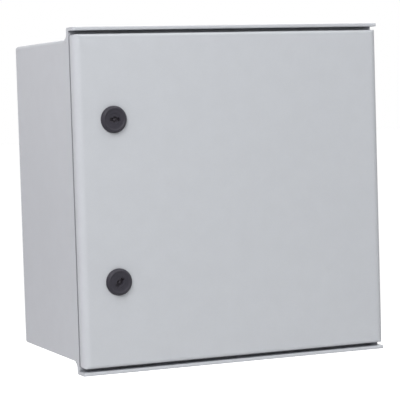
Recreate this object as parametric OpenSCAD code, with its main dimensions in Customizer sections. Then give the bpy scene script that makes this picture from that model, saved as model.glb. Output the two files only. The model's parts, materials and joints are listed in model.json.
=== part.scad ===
// Wall-mounted traffic signal controller cabinet in moulded glass-fibre polyester, in millimetres.
// The back lies on the wall plane y = 0, the door faces -Y and +Z is up.
// Depths are counted from the wall plane towards the front, so a depth of d is y = -d.

/* [Case] */
// Width of the case at its rim
case_w = 500; // [460:1:600]
// Height of the case walls at the rim, without the rain lips
case_h = 476; // [460:1:560]
// Depth from the wall plane to the rim
case_d = 259; // [230:1:320]
// Thickness of the moulded walls
wall = 4; // [3:0.5:5]
// How far each wall leans in from the rim to the back
draft = 2; // [0:0.5:4]
// Radius of the long edges and of the edge around the back
case_edge_r = 5; // [4.5:0.5:8]
// Width of the rim that turns in around the opening
rim_w = 24; // [22:0.5:27]
// Thickness of the rim
rim_t = 4; // [3:0.5:5]
// Thickness of the sealing tongue that stands on the rim
tongue_t = 3.5; // [2.5:0.5:4]
// Radius of the opening's corners
opening_r = 7; // [6:0.5:14]

/* [Rain lips] */
// How far the top and bottom lips stand out from the case walls
lip_rise = 16.5; // [15:0.5:22]
// How far the lips reach forward of the rim
lip_reach = 21; // [14:0.5:22]
// Thickness of the lips
lip_t = 5; // [3.5:0.5:6]
// Radius of the lips' front corners seen from above
lip_corner_r = 3; // [1.5:0.5:8]
// Thickness of the flange that carries a lip
flange_t = 8.5; // [5:0.5:9]
// Radius of the hollow between the flange and the case wall
flange_fillet_r = 8; // [4:0.5:9]

/* [Door] */
// Depth of the door from its back edge to its face
door_depth = 18; // [17:0.5:22]
// Thickness of the door's face and of its edges
door_wall = 4; // [3:0.5:4.5]
// Gap between the rim and the door's back edge
door_gap = 4; // [2.5:0.25:4.5]
// How far the door's edges stand in from the case sides
door_inset = 0.5; // [0.5:0.25:2]
// Gap between the door and each rain lip
lip_gap = 5.4; // [4:0.1:7]
// Radius of the long rounded edges at the left and right of the face
door_side_r = 11; // [8:0.5:11]
// Radius of the edges at the top and bottom of the face
door_top_r = 4.5; // [4.5:0.5:8]
// Radius of the door's corners seen from the front
door_corner_r = 4.5; // [2.5:0.5:6]
// Width of the foamed gasket
gasket_w = 10; // [8:0.5:11]
// Thickness of the foamed gasket
gasket_t = 6; // [4:0.5:7]
// Height of the ribs that hold the gasket
rib_h = 5; // [3:0.5:5]
// Thickness of the ribs that hold the gasket
rib_t = 2.5; // [2:0.5:2.5]

/* [Hinges] */
// Distance of the middle of each hinge from the top or bottom of the case walls
hinge_in = 86.5; // [72:0.5:116]
// Length of the hinge barrel
hinge_len = 60; // [48:1:70]
// Radius of the hinge barrel
barrel_r = 4.5; // [4.25:0.25:5]
// Radius of the hinge pin
pin_r = 2.5; // [2:0.25:3]
// Thickness of the hinge leaves
leaf_t = 2.5; // [2.5:0.25:3]
// Width of the leaf on the case
leaf_w = 30; // [26:1:36]

/* [Locks] */
// Distance of the lock axes from the door's left edge
lock_in = 57.4; // [56:0.1:59]
// Distance of the lock axes from the door's top or bottom edge
lock_end_in = 125; // [114:0.2:144]
// Radius of the lock head
lock_head_r = 20; // [18.5:0.5:24]
// Height of the lock head's rim over the door's face
lock_head_h = 6.5; // [5.5:0.5:8]
// Radius of the lock barrel that passes through the door
lock_barrel_r = 14; // [13:0.5:15]
// Radius of the bore that carries the key spindle
spindle_bore_r = 9; // [8:0.25:10]
// Radius of the bore that carries the spindle's shaft
shaft_bore_r = 6; // [5.75:0.25:6.5]
// Length of the cam from the lock axis to its tip
cam_l = 41.5; // [40:0.5:43]
// Thickness of the cam
cam_t = 3; // [2:0.5:4]
// Angle at which the lower lock is left, from the open position
lower_turn = 45; // [0:1:45]

/* [Mounting plate] */
// Distance of the plate's edges from the case sides
plate_margin = 28; // [26:0.5:30]
// Thickness of the plate
plate_t = 2.5; // [1.5:0.5:4]
// Height of the bosses that carry the plate
boss_h = 20; // [15:1:30]
// Radius of the wall fixing holes
wall_hole_r = 4.5; // [3:0.25:5.5]
// Distance of the wall fixing holes from the case sides
wall_hole_in = 40; // [38:0.5:42]
// Distance of the plate screws from the plate's top or bottom edge
plate_screw_end = 88.5; // [74:0.5:118]

/* [Equipment] */
// Height of the upper rail over the middle of the case
upper_rail_z = 130; // [128:1:135]
// Height of the lower rail, below the middle of the case
lower_rail_z = -108; // [-115:1:-104]
// Gap between each end of a rail and the upright duct beside it
rail_end_gap = 13; // [8:0.5:18]
// Width of the wiring ducts
duct_w = 30; // [25:1:30]
// Depth of the wiring ducts
duct_depth = 52; // [40:1:60]
// Height of the level wiring ducts above or below the middle of the case
duct_z = 64; // [63:0.5:66]
// Pitch of the slots in the wiring ducts
duct_pitch = 12; // [10:0.5:16]
// Width of one terminal block
terminal_w = 6.2; // [5:0.1:7]
// Length of rail left free beyond each end stop of the terminals
terminal_spare = 33; // [20:1:80]
// Width of one lamp driver
driver_w = 25; // [20:0.5:26]
// Gap between the controller's ear and the first lamp driver
driver_space = 18; // [8:1:30]

/* [Hidden] */
$fn = 64;

// Fits that several pieces share
eps = 0.01;
running_gap = 0.05;
screw_gap = 0.1;
face_gap = 0.3;

// Case
inner_back = wall;
lip_z = case_h / 2 + lip_rise;
opening_w = case_w - 2 * rim_w;
opening_h = case_h - 2 * rim_w;
lip_edge_r = 1.5;
flange_tip_r = 3.5;
arc_steps = 10;

// Door
door_w = case_w - 2 * door_inset;
door_h = 2 * (lip_z - lip_t - lip_gap);
door_back = case_d + door_gap;
door_face = door_back + door_depth;
door_inside = door_face - door_wall;
gasket_front = door_inside - gasket_t;
tongue_tip = gasket_front - face_gap;
seal_w = opening_w + tongue_t;
seal_h = opening_h + tongue_t;
seal_r = opening_r + tongue_t / 2;
rib_gap = 0.2;

// Hinges
hinge_z = case_h / 2 - hinge_in;
pivot_in = 0.5;
pivot_x = case_w / 2 - pivot_in;
pivot_depth = case_d + door_gap / 2;
knuckle_gap = 0.4;
end_knuckle = 16.2;
mid_knuckle = hinge_len - 2 * end_knuckle;
pin_head_r = 4;
pin_head_h = 1.5;
pin_head_taper = 0.8;
notch_clear = 0.8;
notch_r = barrel_r + notch_clear;
notch_len = hinge_len + 2 * (pin_head_h + notch_clear);
leaf_edge = pivot_depth - notch_r;
leaf_seat = case_w / 2 - leaf_t;
pad_t = 10;
pad_margin = 6;
leaf_screw_r = 2.5;
leaf_screw_head_r = 4.6;
leaf_screw_head_h = 2.2;
leaf_screw_len = 11;
leaf_screw_in = 8;
leaf_screw_end = 9;
leaf_screw_z = hinge_len / 2 - leaf_screw_end;
leaf_recess_depth = 1.4;
web_x = door_w / 2 - door_wall;
web_over = 18;
web_len = hinge_len + 2 * web_over;
web_front = door_face - door_side_r;
arm_in = 1.2;
arm_depth = pivot_depth + arm_in;
web_screw_r = 1.75;
web_screw_head_r = 3.2;
web_screw_head_h = 1.6;
web_screw_over = 1;
web_screw_end = 9;
web_screw_z = web_len / 2 - web_screw_end;
web_screw_in = 3.6;
web_screw_depth = web_front - web_screw_in;
web_recess_depth = 1.2;
cross_w = 1;

// Locks
lock_x = -(door_w / 2 - lock_in);
lock_z = door_h / 2 - lock_end_in;
lock_foot = 0.4;
lock_bevel_w = 3.2;
lock_bevel_h = 3.6;
lock_crest_w = 1;
lock_dish = 1;
lock_dish_w = 2.2;
lock_face_h = lock_head_h - lock_dish;
lock_pad_w = 5;
lock_pad_r = lock_head_r + lock_pad_w;
lock_pad_t = 1.5;
lock_flat_in = 1.5;
lock_flat = lock_barrel_r - lock_flat_in;
lock_nut_w = 4;
lock_nut_af = 2 * (lock_barrel_r + lock_nut_w);
lock_nut_h = 6;
lock_tail = 7;
lock_barrel_len = door_wall + lock_pad_t + lock_nut_h + lock_tail;
seal_ring_w = 1.8;
seal_ring_r = (lock_barrel_r + lock_head_r) / 2;
spindle_sink = 0.5;
spindle_face_h = lock_face_h - spindle_sink;
spindle_floor = 7;
spindle_seat = lock_barrel_len - spindle_floor;
cam_gap = 0.5;
cam_front = case_d - rim_t - cam_gap;
cam_z0 = cam_front - door_face;
cam_hub_r = 9;
cam_tip_r = 7;
square_w = 8;
cam_screw_r = 2.5;
cam_screw_len = 10;
cam_screw_af = 9.6;
cam_screw_head_h = 4;
cam_screw_flange_h = 1.5;
key_l = 15;
key_w = 5.5;
key_r = 4.4;
key_depth = 6;
key_pin_r = 1.5;
key_pin_drop = 2.5;

// Mounting plate
plate_w = case_w - 2 * plate_margin;
plate_h = case_h - 2 * plate_margin;
plate_back = inner_back + boss_h;
plate_front = plate_back + plate_t;
wall_boss_r = 10;
wall_boss_h = 8;
plate_clip_gap = 4;
plate_clip = 2 * (wall_hole_in - plate_margin) + sqrt(2) * (wall_boss_r + plate_clip_gap);
wall_hole_x = case_w / 2 - wall_hole_in;
wall_hole_z = case_h / 2 - wall_hole_in;
plate_screw_in = 12;
plate_screw_x = plate_w / 2 - plate_screw_in;
plate_screw_z = plate_h / 2 - plate_screw_end;
plate_screw_r = 3;
plate_screw_len = 14;
washer_r = 6.5;
washer_t = 1.5;
insert_r = 4.5;
insert_l = 14;
boss_r = 9;
pan_head_k = 2;
pan_top_k = 1.6;
pan_height_k = 1.4;

// Wiring ducts
duct_t = 2;
duct_slot_w = 6;
duct_web_h = 15.5;
duct_side_gap = 24;
duct_x = plate_w / 2 - duct_side_gap - duct_w / 2;
duct_end_margin = 26;
upright_len = plate_h - 2 * duct_end_margin;
duct_cover_t = 2.2;
duct_cover_lip = 4;
duct_cross_gap = 3.2;
level_len = 2 * (duct_x - duct_w / 2 - duct_cross_gap);

// Rails and what is clipped on them
rail_len = 2 * (duct_x - duct_w / 2 - rail_end_gap);
rail_h = 35;
rail_crown = 25;
rail_depth = 7.5;
rail_t = 1.2;
rail_front = plate_front + rail_depth;
rail_screw_r = 2.5;
rail_screw_end = 15;
rail_screw_x = rail_len / 2 - rail_screw_end;
rail_screw_over = 4;
clip_depth = 3.5;
device_back = rail_front - clip_depth;
row_in = 10;
row_left = -rail_len / 2 + row_in;
module_w = 17.6;
module_h = 85;
module_body = 44;
module_nose = 62;
module_nose_h = 45;
module_seam = 0.8;
module_seam_depth = 1;
module_screw_r = 3;
module_screw_depth = 8;
breaker_w = 2 * module_w;
toggle_r = 7.5;
toggle_w = 26;
toggle_t = 5;
toggle_reach = 17;
toggle_angle = 35;
toggle_sink = 2;
toggle_depth = device_back + module_nose - toggle_sink;
toggle_x = row_left + breaker_w / 2;
surge_space = 8;
surge_x0 = row_left + breaker_w + surge_space;
surge_w = 2 * module_w;
sight_r = 3;
sight_z = 10;
sight_depth = 2;
grip_w = 12;
grip_h = 3;
grip_z = -14.5;
grip_depth = 1.5;
supply_space = 24;
supply_x0 = surge_x0 + surge_w + supply_space;
supply_w = 72;
supply_h = 90;
supply_d = 82;
supply_ledge_d = 14;
supply_ledge_h = 16;
supply_slots = 9;
supply_slot_w = 3;
supply_slot_cut = 3;
supply_slot_back = 14;
supply_slot_front = 24;
supply_screws = 5;
supply_screw_r = 2.6;
supply_screw_in = 8;
supply_screw_depth = 6;
supply_lamp_x = 10;
supply_lamp_z = 24;

// Controller and lamp drivers, in the row between the level ducts
row_clear = 3;
row_half = duct_x - duct_w / 2 - row_clear;
controller_w = 172;
controller_h = 84;
controller_d = 58;
controller_ear = 12;
controller_ear_t = 3;
controller_x0 = -row_half + controller_ear;
controller_screw_in = 10;
mouth_count = 5;
mouth_wall = 4;
mouth_low = 6;
mouth_h = 14;
mouth_depth = 9;
lamp_count = 12;
lamp_in = 20;
lamp_top = 12;
lamp_r = 2;
lamp_depth = 1.5;
display_w = 54;
display_h = 26;
display_z = 5;
display_depth = 1;
button_count = 4;
button_space = 18;
button_pitch = 16;
button_r = 5;
driver_h = 84;
driver_d = 74;
driver_gap = 1;
driver_x0 = controller_x0 + controller_w + controller_ear + driver_space;
driver_pitch = driver_w + driver_gap;
driver_count = floor((row_half - driver_x0 + driver_gap) / driver_pitch);
driver_lamps = 3;
driver_lamp_top = 30;
driver_lamp_pitch = 9;
fuse_r = 6.5;
fuse_h = 6;
fuse_top = 14;
fuse_slot_l = 10;
fuse_slot_w = 1.2;
fuse_slot_depth = 1.5;
plug_h = 20;

// Terminals and earth bar
terminal_h = 42;
terminal_d = 44;
terminal_gap = 0.2;
terminal_top_h = 30;
terminal_shoulder = 14;
terminal_funnel_r = 1.8;
terminal_funnel_depth = 10;
stop_w = 9;
stop_h = 48;
stop_d = 30;
stop_gap = 0.5;
stop_screw_r = 2.5;
stop_screw_depth = 12;
terminal_count = floor((rail_len - 2 * (stop_w + stop_gap + terminal_spare)) / terminal_w);
terminal_x0 = -terminal_count * terminal_w / 2;
bar_w = 12;
bar_t = 6;
bar_end_in = 35;
bar_len = rail_len - 2 * bar_end_in;
bar_space = 22;
bar_z = lower_rail_z - stop_h / 2 - bar_space - bar_w / 2;
bar_post_h = 22;
bar_post_r = 8;
bar_post_in = 12;
bar_post_x = bar_len / 2 - bar_post_in;
bar_post_bore = 12;
bar_post_grip = 10;
bar_pitch = 16;
bar_screw_r = 2.5;

// Colours
grey_polyester = "#C4C8CD";
black_polyamide = "#3B3A41";
zinc_steel = "#B9BCBD";
stainless = "#C9CBCC";
brass_tone = "#B9963F";
foam_grey = "#4A4B4D";
black_rubber = "#222224";
module_grey = "#D9DAD6";
unit_grey = "#6F777E";
duct_grey = "#A9ADB0";
terminal_grey = "#8F9496";
accent_green = "#4E8A4E";

// Shapes that repeat

// Points along an arc about a centre, from angle a0 to angle a1
function arc(cx, cy, r, a0, a1) = [
    for (i = [0:arc_steps])
        let (a = a0 + (a1 - a0) * i / arc_steps)
        [cx + r * cos(a), cy + r * sin(a)]
];

// Turns outline points of depth and height into y and z
function depth_points(points) = [for (p = points) [-p[0], p[1]]];

module rounded_rect(w, h, r) {
    square([w - 2 * r, h], center = true);
    square([w, h - 2 * r], center = true);
    for (x = [r - w / 2, w / 2 - r])
        for (y = [r - h / 2, h / 2 - r])
            translate([x, y])
                circle(r = r);
}

// Plan outline w wide from depth d0 to depth d1, with rounded front corners
module plan_outline(w, d0, d1, r) {
    translate([-w / 2, r - d1])
        square([w, d1 - r - d0]);
    translate([r - w / 2, -d1])
        square([w - 2 * r, 2 * r]);
    for (x = [r - w / 2, w / 2 - r])
        translate([x, r - d1])
            circle(r = r);
}

// Carries a front-view outline from depth d0 to depth d1
module slab(d0, d1) {
    translate([0, -d0, 0])
        rotate([90, 0, 0])
            linear_extrude(d1 - d0)
                children();
}

// Carries an outline of y and z from x0 to x1
module along_x(x0, x1) {
    translate([x0, 0, 0])
        rotate([90, 0, 90])
            linear_extrude(x1 - x0)
                children();
}

// Round bar that points to the front, from depth d0 to depth d1
module post(x, z, d0, d1, r) {
    translate([x, -d0, z])
        rotate([90, 0, 0])
            cylinder(h = d1 - d0, r = r);
}

// Block given by its lowest and highest x, depth and z
module block(x, d, z) {
    translate([x[0], -d[1], z[0]])
        cube([x[1] - x[0], d[1] - d[0], z[1] - z[0]]);
}

module four_places(x, z) {
    for (sx = [-1, 1])
        for (sz = [-1, 1])
            translate([sx * x, 0, sz * z])
                children();
}

module hex_bar(af, h) {
    cylinder(h = h, r = af / sqrt(3), $fn = 6);
}

module ring(w, h, r, t, d0, d1) {
    slab(d0, d1)
        difference() {
            rounded_rect(w + t, h + t, r + t / 2);
            rounded_rect(w - t, h - t, r - t / 2);
        }
}

// Case

module case_outside() {
    hull() {
        slab(case_d - eps, case_d)
            rounded_rect(case_w, case_h, case_edge_r);
        for (a = [0:15:90]) {
            inset = 2 * (draft + case_edge_r * (1 - sin(a)));
            depth = case_edge_r * (1 - cos(a));
            slab(depth, depth + eps)
                rounded_rect(case_w - inset, case_h - inset, case_edge_r);
        }
    }
}

module case_hollow() {
    back_inset = 2 * (wall + draft);
    hull() {
        slab(inner_back, inner_back + eps)
            rounded_rect(case_w - back_inset, case_h - back_inset, case_edge_r);
        slab(case_d, case_d + eps)
            rounded_rect(case_w - 2 * wall, case_h - 2 * wall, case_edge_r);
    }
}

// Rim that turns in from the walls, with the tongue that presses on the gasket
module rim() {
    slab(case_d - rim_t, case_d)
        difference() {
            rounded_rect(case_w - wall, case_h - wall, case_edge_r);
            rounded_rect(opening_w, opening_h, opening_r);
        }
    ring(seal_w, seal_h, seal_r, tongue_t, case_d - rim_t / 2, tongue_tip);
}

// Flange and lip along the top edge, filleted into the wall behind
module rain_lip() {
    foot_z = case_h / 2 - case_edge_r;
    lip_front = case_d + lip_reach;
    back = case_d - flange_t;
    outline = concat(
        [[-case_d, foot_z], [-case_d, lip_z - lip_t]],
        arc(-lip_front + lip_edge_r, lip_z - lip_t + lip_edge_r, lip_edge_r, 270, 180),
        arc(-lip_front + lip_edge_r, lip_z - lip_edge_r, lip_edge_r, 180, 90),
        arc(-back - flange_tip_r, lip_z - flange_tip_r, flange_tip_r, 90, 0),
        arc(-back + flange_fillet_r, case_h / 2 + flange_fillet_r, flange_fillet_r, 180, 270),
        [[-back + flange_fillet_r, foot_z]]
    );
    intersection() {
        along_x(-case_w / 2, case_w / 2)
            polygon(outline);
        translate([0, 0, foot_z - 1])
            linear_extrude(lip_z - foot_z + 2)
                plan_outline(case_w, back - 2 * flange_fillet_r, lip_front, lip_corner_r);
    }
}

// Thick pad inside the wall that takes the screws of one hinge leaf
module hinge_pad() {
    x1 = case_w / 2 - wall / 2;
    z1 = hinge_len / 2 + pad_margin;
    block([x1 - wall / 2 - pad_t, x1], [leaf_edge - leaf_w - pad_margin, case_d - rim_t / 2], [-z1, z1]);
}

module leaf_screw_places() {
    for (d = [leaf_edge - leaf_screw_in, leaf_edge - leaf_w + leaf_screw_in])
        for (z = [-leaf_screw_z, leaf_screw_z])
            translate([case_w / 2, -d, z])
                rotate([0, -90, 0])
                    children();
}

// Recess for the case leaf, the barrel's notch and the screw holes of one hinge
module case_hinge_cuts() {
    z1 = hinge_len / 2 + face_gap;
    block([leaf_seat, case_w / 2 + 1], [leaf_edge - leaf_w - face_gap, case_d + 1], [-z1, z1]);
    barrel_notch();
    leaf_screw_places()
        cylinder(h = leaf_screw_len + 1, r = leaf_screw_r + screw_gap);
}

module barrel_notch() {
    translate([pivot_x, -pivot_depth, -notch_len / 2])
        cylinder(h = notch_len, r = notch_r);
}

module case_body() {
    color(grey_polyester)
        difference() {
            union() {
                difference() {
                    case_outside();
                    case_hollow();
                }
                rim();
                rain_lip();
                mirror([0, 0, 1])
                    rain_lip();
                four_places(wall_hole_x, wall_hole_z)
                    post(0, 0, inner_back / 2, inner_back + wall_boss_h, wall_boss_r);
                four_places(plate_screw_x, plate_screw_z)
                    post(0, 0, inner_back / 2, plate_back, boss_r);
                at_hinges()
                    hinge_pad();
            }
            four_places(wall_hole_x, wall_hole_z)
                post(0, 0, -1, inner_back + wall_boss_h + 1, wall_hole_r);
            four_places(plate_screw_x, plate_screw_z)
                post(0, 0, plate_back - insert_l, plate_back + 1, insert_r + screw_gap);
            at_hinges()
                case_hinge_cuts();
        }
}

// Door

// Door form with rounded side edges, top edges and corners, cut from three outlines
module door_form(w, h, d0, d1, side_r, top_r, corner_r) {
    intersection() {
        translate([0, 0, -h / 2])
            linear_extrude(h)
                plan_outline(w, d0, d1, side_r);
        along_x(-w / 2, w / 2)
            rotate(-90)
                plan_outline(h, d0, d1, top_r);
        slab(d0, d1)
            rounded_rect(w, h, corner_r);
    }
}

module door_shell() {
    difference() {
        door_form(door_w, door_h, door_back, door_face, door_side_r, door_top_r, door_corner_r);
        door_form(door_w - 2 * door_wall, door_h - 2 * door_wall, door_back - 1, door_inside,
            door_side_r - door_wall, door_top_r - door_wall / 2, door_corner_r - door_wall / 2);
    }
}

// Two ribs inside the door, with the gasket between them
module gasket_ribs() {
    for (side = [-1, 1]) {
        offset_w = side * (gasket_w + rib_t + 2 * rib_gap);
        ring(seal_w + offset_w, seal_h + offset_w, seal_r + offset_w / 2, rib_t,
            door_inside - rib_h, door_inside + door_wall / 2);
    }
}

module at_hinges() {
    for (z = [-hinge_z, hinge_z])
        translate([0, 0, z])
            children();
}

module at_locks() {
    for (z = [-lock_z, lock_z])
        translate([lock_x, 0, z])
            children();
}

module web_screw_places() {
    for (z = [-web_screw_z, web_screw_z])
        translate([door_w / 2, -web_screw_depth, z])
            rotate([0, -90, 0])
                children();
}

// Notches for the barrel and the arm, and the screw holes of one hinge
module door_hinge_cuts() {
    z1 = mid_knuckle / 2 + face_gap;
    barrel_notch();
    block([web_x - 1, door_w / 2 + 1], [door_back - 1, arm_depth + leaf_t + face_gap], [-z1, z1]);
    web_screw_places() {
        translate([0, 0, -1])
            cylinder(h = door_wall + 2, r = web_screw_r + screw_gap);
        web_screw_head();
    }
}

module web_screw_head() {
    cylinder(h = web_screw_head_h, r1 = web_screw_head_r, r2 = web_screw_r);
}

module door_panel() {
    color(grey_polyester)
        difference() {
            union() {
                door_shell();
                gasket_ribs();
                at_locks()
                    post(0, 0, door_inside - lock_pad_t, door_inside + door_wall / 2, lock_pad_r);
            }
            at_locks()
                slab(door_inside - lock_pad_t - 1, door_face + 1)
                    intersection() {
                        circle(r = lock_barrel_r + screw_gap);
                        square([2 * lock_barrel_r + 2, 2 * (lock_flat + screw_gap)], center = true);
                    }
            at_hinges()
                door_hinge_cuts();
        }
}

module door_gasket() {
    color(foam_grey)
        ring(seal_w, seal_h, seal_r, gasket_w, gasket_front, door_inside);
}

// Hinges

// Barrel section from z0 to z1
module knuckle(z0, z1) {
    translate([pivot_x, -pivot_depth, z0])
        cylinder(h = z1 - z0, r = barrel_r);
}

module pin_bore() {
    translate([pivot_x, -pivot_depth, -hinge_len])
        cylinder(h = 2 * hinge_len, r = pin_r + running_gap);
}

// Leaf let flush into the case side, with the outer two knuckles
module case_leaf(z) {
    end = hinge_len / 2;
    start = mid_knuckle / 2 + knuckle_gap;
    color(stainless)
        translate([0, 0, z])
            difference() {
                union() {
                    block([leaf_seat, case_w / 2], [leaf_edge - leaf_w, leaf_edge], [-end, end]);
                    for (s = [[-end, -start], [start, end]]) {
                        block([leaf_seat, case_w / 2], [leaf_edge - 1, pivot_depth], s);
                        knuckle(s[0], s[1]);
                    }
                }
                pin_bore();
                leaf_screw_places() {
                    leaf_screw_head();
                    cylinder(h = leaf_t + 1, r = leaf_screw_r + screw_gap);
                }
            }
}

// Middle knuckle on an arm that reaches in through the door's edge to a web screwed inside it
module door_leaf(z) {
    mid = mid_knuckle / 2;
    color(stainless)
        translate([0, 0, z])
            difference() {
                union() {
                    knuckle(-mid, mid);
                    block([web_x - leaf_t, pivot_x], [arm_depth, arm_depth + leaf_t], [-mid, mid]);
                    block([web_x - leaf_t, web_x], [arm_depth, web_front], [-web_len / 2, web_len / 2]);
                }
                pin_bore();
                outer_knuckle_room();
                web_screw_places()
                    cylinder(h = 2 * door_wall, r = web_screw_r + screw_gap);
            }
}

// Hollow along the web in which the outer two knuckles stand clear
module outer_knuckle_room() {
    start = mid_knuckle / 2;
    end = web_len / 2 + 1;
    for (z = [-end, start])
        translate([pivot_x, -pivot_depth, z])
            cylinder(h = end - start, r = notch_r);
}

module hinge_pin(z) {
    color(stainless)
        translate([pivot_x, -pivot_depth, z - hinge_len / 2]) {
            cylinder(h = hinge_len, r = pin_r);
            translate([0, 0, hinge_len])
                cylinder(h = pin_head_h, r1 = pin_head_r, r2 = pin_head_r - pin_head_taper);
        }
}

module leaf_screw_head() {
    cylinder(h = leaf_screw_head_h, r1 = leaf_screw_head_r, r2 = leaf_screw_r);
}

// Countersunk screws with a cross recess
module case_leaf_screws() {
    color(stainless)
        at_hinges()
            leaf_screw_places()
                difference() {
                    union() {
                        leaf_screw_head();
                        cylinder(h = leaf_screw_len, r = leaf_screw_r);
                    }
                    cross_recess(leaf_screw_r, leaf_recess_depth);
                }
}

module cross_recess(r, depth) {
    for (turn = [0, 90])
        rotate([0, 0, turn])
            translate([-r, -cross_w / 2, -1])
                cube([2 * r, cross_w, depth + 1]);
}

module door_leaf_screws() {
    color(stainless)
        at_hinges()
            web_screw_places()
                difference() {
                    union() {
                        web_screw_head();
                        cylinder(h = door_wall + leaf_t + web_screw_over, r = web_screw_r);
                    }
                    cross_recess(web_screw_r, web_recess_depth);
                }
}

// Locks: here z = 0 is the door's face and +z points to the front

module at_lock(z) {
    translate([lock_x, -door_face, z])
        rotate([90, 0, 0])
            children();
}

// Round head with a bevelled rim around a dished face, and a barrel with two flats
module lock_housing(z) {
    crest_out = lock_head_r - lock_bevel_w;
    crest_in = crest_out - lock_crest_w;
    color(black_polyamide)
        at_lock(z)
            difference() {
                union() {
                    rotate_extrude()
                        polygon([
                            [0, 0], [lock_head_r - lock_foot, 0], [lock_head_r, lock_foot],
                            [lock_head_r, lock_head_h - lock_bevel_h],
                            [crest_out, lock_head_h], [crest_in, lock_head_h],
                            [crest_in - lock_dish_w, lock_face_h], [0, lock_face_h]
                        ]);
                    intersection() {
                        translate([0, 0, -lock_barrel_len])
                            cylinder(h = lock_barrel_len + 1, r = lock_barrel_r);
                        translate([-lock_barrel_r, -lock_flat, -lock_barrel_len])
                            cube([2 * lock_barrel_r, 2 * lock_flat, lock_barrel_len + 1]);
                    }
                }
                translate([0, 0, -spindle_seat])
                    cylinder(h = spindle_seat + lock_head_h, r = spindle_bore_r);
                translate([0, 0, -lock_barrel_len - 1])
                    cylinder(h = lock_barrel_len + 1, r = shaft_bore_r);
                seal_groove();
            }
}

module seal_groove() {
    rotate_extrude()
        translate([seal_ring_r - seal_ring_w / 2, 0])
            square([seal_ring_w, seal_ring_w]);
}

module lock_seal(z) {
    color(black_rubber)
        at_lock(z)
            seal_groove();
}

module lock_nut(z) {
    color(black_polyamide)
        at_lock(z)
            translate([0, 0, -door_wall - lock_pad_t - lock_nut_h])
                difference() {
                    hex_bar(lock_nut_af, lock_nut_h);
                    translate([0, 0, -1])
                        cylinder(h = lock_nut_h + 2, r = lock_barrel_r + running_gap);
                }
}

// Spindle turned by the key: journal, shaft and a square end for the cam
module lock_spindle(z, turn) {
    color(black_polyamide)
        at_lock(z)
            rotate([0, 0, turn])
                difference() {
                    union() {
                        translate([0, 0, -spindle_seat + running_gap])
                            cylinder(h = spindle_seat + spindle_face_h, r = spindle_bore_r - running_gap);
                        translate([0, 0, cam_z0])
                            cylinder(h = -cam_z0 - spindle_seat + 1, r = shaft_bore_r - running_gap);
                        translate([-square_w / 2, -square_w / 2, cam_z0 - cam_t])
                            cube([square_w, square_w, cam_t + 1]);
                    }
                    key_recess();
                    translate([0, 0, cam_z0 - cam_t - 1])
                        cylinder(h = cam_screw_len + 2, r = cam_screw_r + screw_gap);
                }
}

// Double-bit recess: a round hole with a wing on each side, and a pin in its middle that ends below the face
module key_recess() {
    translate([0, 0, spindle_face_h - key_depth])
        difference() {
            linear_extrude(key_depth + 1) {
                circle(r = key_r);
                square([key_l, key_w], center = true);
            }
            translate([0, 0, -1])
                cylinder(h = key_depth - key_pin_drop + 1, r = key_pin_r);
        }
}

// Cam that points up when the lock is open and turns behind the rim on the left
module lock_cam(z, turn) {
    color(zinc_steel)
        at_lock(z)
            rotate([0, 0, turn])
                translate([0, 0, cam_z0 - cam_t])
                    linear_extrude(cam_t)
                        difference() {
                            union() {
                                circle(r = cam_hub_r);
                                translate([-cam_tip_r, 0])
                                    square([2 * cam_tip_r, cam_l - cam_tip_r]);
                                translate([0, cam_l - cam_tip_r])
                                    circle(r = cam_tip_r);
                            }
                            square(square_w + 2 * running_gap, center = true);
                        }
}

// Flanged hexagon screw that holds the cam on the spindle
module cam_screw(z, turn) {
    base = cam_z0 - cam_t;
    color(zinc_steel)
        at_lock(z)
            rotate([0, 0, turn]) {
                translate([0, 0, base - cam_screw_flange_h])
                    cylinder(h = cam_screw_flange_h, r = cam_tip_r);
                translate([0, 0, base - cam_screw_flange_h - cam_screw_head_h])
                    hex_bar(cam_screw_af, cam_screw_head_h + eps);
                translate([0, 0, base - eps])
                    cylinder(h = cam_screw_len, r = cam_screw_r);
            }
}

// Mounting plate

// Plate outline with clipped corners that leave the wall fixing holes free
module plate_outline() {
    x = plate_w / 2;
    z = plate_h / 2;
    c = plate_clip;
    polygon([
        [x - c, z], [c - x, z], [-x, z - c], [-x, c - z],
        [c - x, -z], [x - c, -z], [x, c - z], [x, z - c]
    ]);
}

module mounting_plate() {
    color(zinc_steel)
        difference() {
            slab(plate_back, plate_front)
                plate_outline();
            four_places(plate_screw_x, plate_screw_z)
                post(0, 0, plate_back - 1, plate_front + 1, plate_screw_r + screw_gap);
            rail_screw_places()
                post(0, 0, plate_back - 1, plate_front + 1, rail_screw_r + screw_gap);
            controller_screw_places()
                post(0, 0, plate_back - 1, plate_front + 1, rail_screw_r + screw_gap);
        }
}

module threaded_inserts() {
    color(brass_tone)
        four_places(plate_screw_x, plate_screw_z)
            difference() {
                post(0, 0, plate_back - insert_l, plate_back, insert_r);
                post(0, 0, plate_back - insert_l - 1, plate_back + 1, plate_screw_r + screw_gap);
            }
}

// Pan-head screw whose head sits on depth d and whose shank runs back from it
module pan_screw(d, r, len) {
    head_h = pan_height_k * r;
    difference() {
        union() {
            translate([0, -d, 0])
                rotate([90, 0, 0])
                    cylinder(h = head_h, r1 = pan_head_k * r, r2 = pan_top_k * r);
            post(0, 0, d - len, d + eps, r);
        }
        translate([0, -d - head_h, 0])
            rotate([-90, 0, 0])
                cross_recess(r, head_h / 2);
    }
}

module plate_screws() {
    color(zinc_steel)
        four_places(plate_screw_x, plate_screw_z) {
            pan_screw(plate_front + washer_t, plate_screw_r, plate_screw_len);
            post(0, 0, plate_front, plate_front + washer_t, washer_r);
        }
}

// Rails

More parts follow.
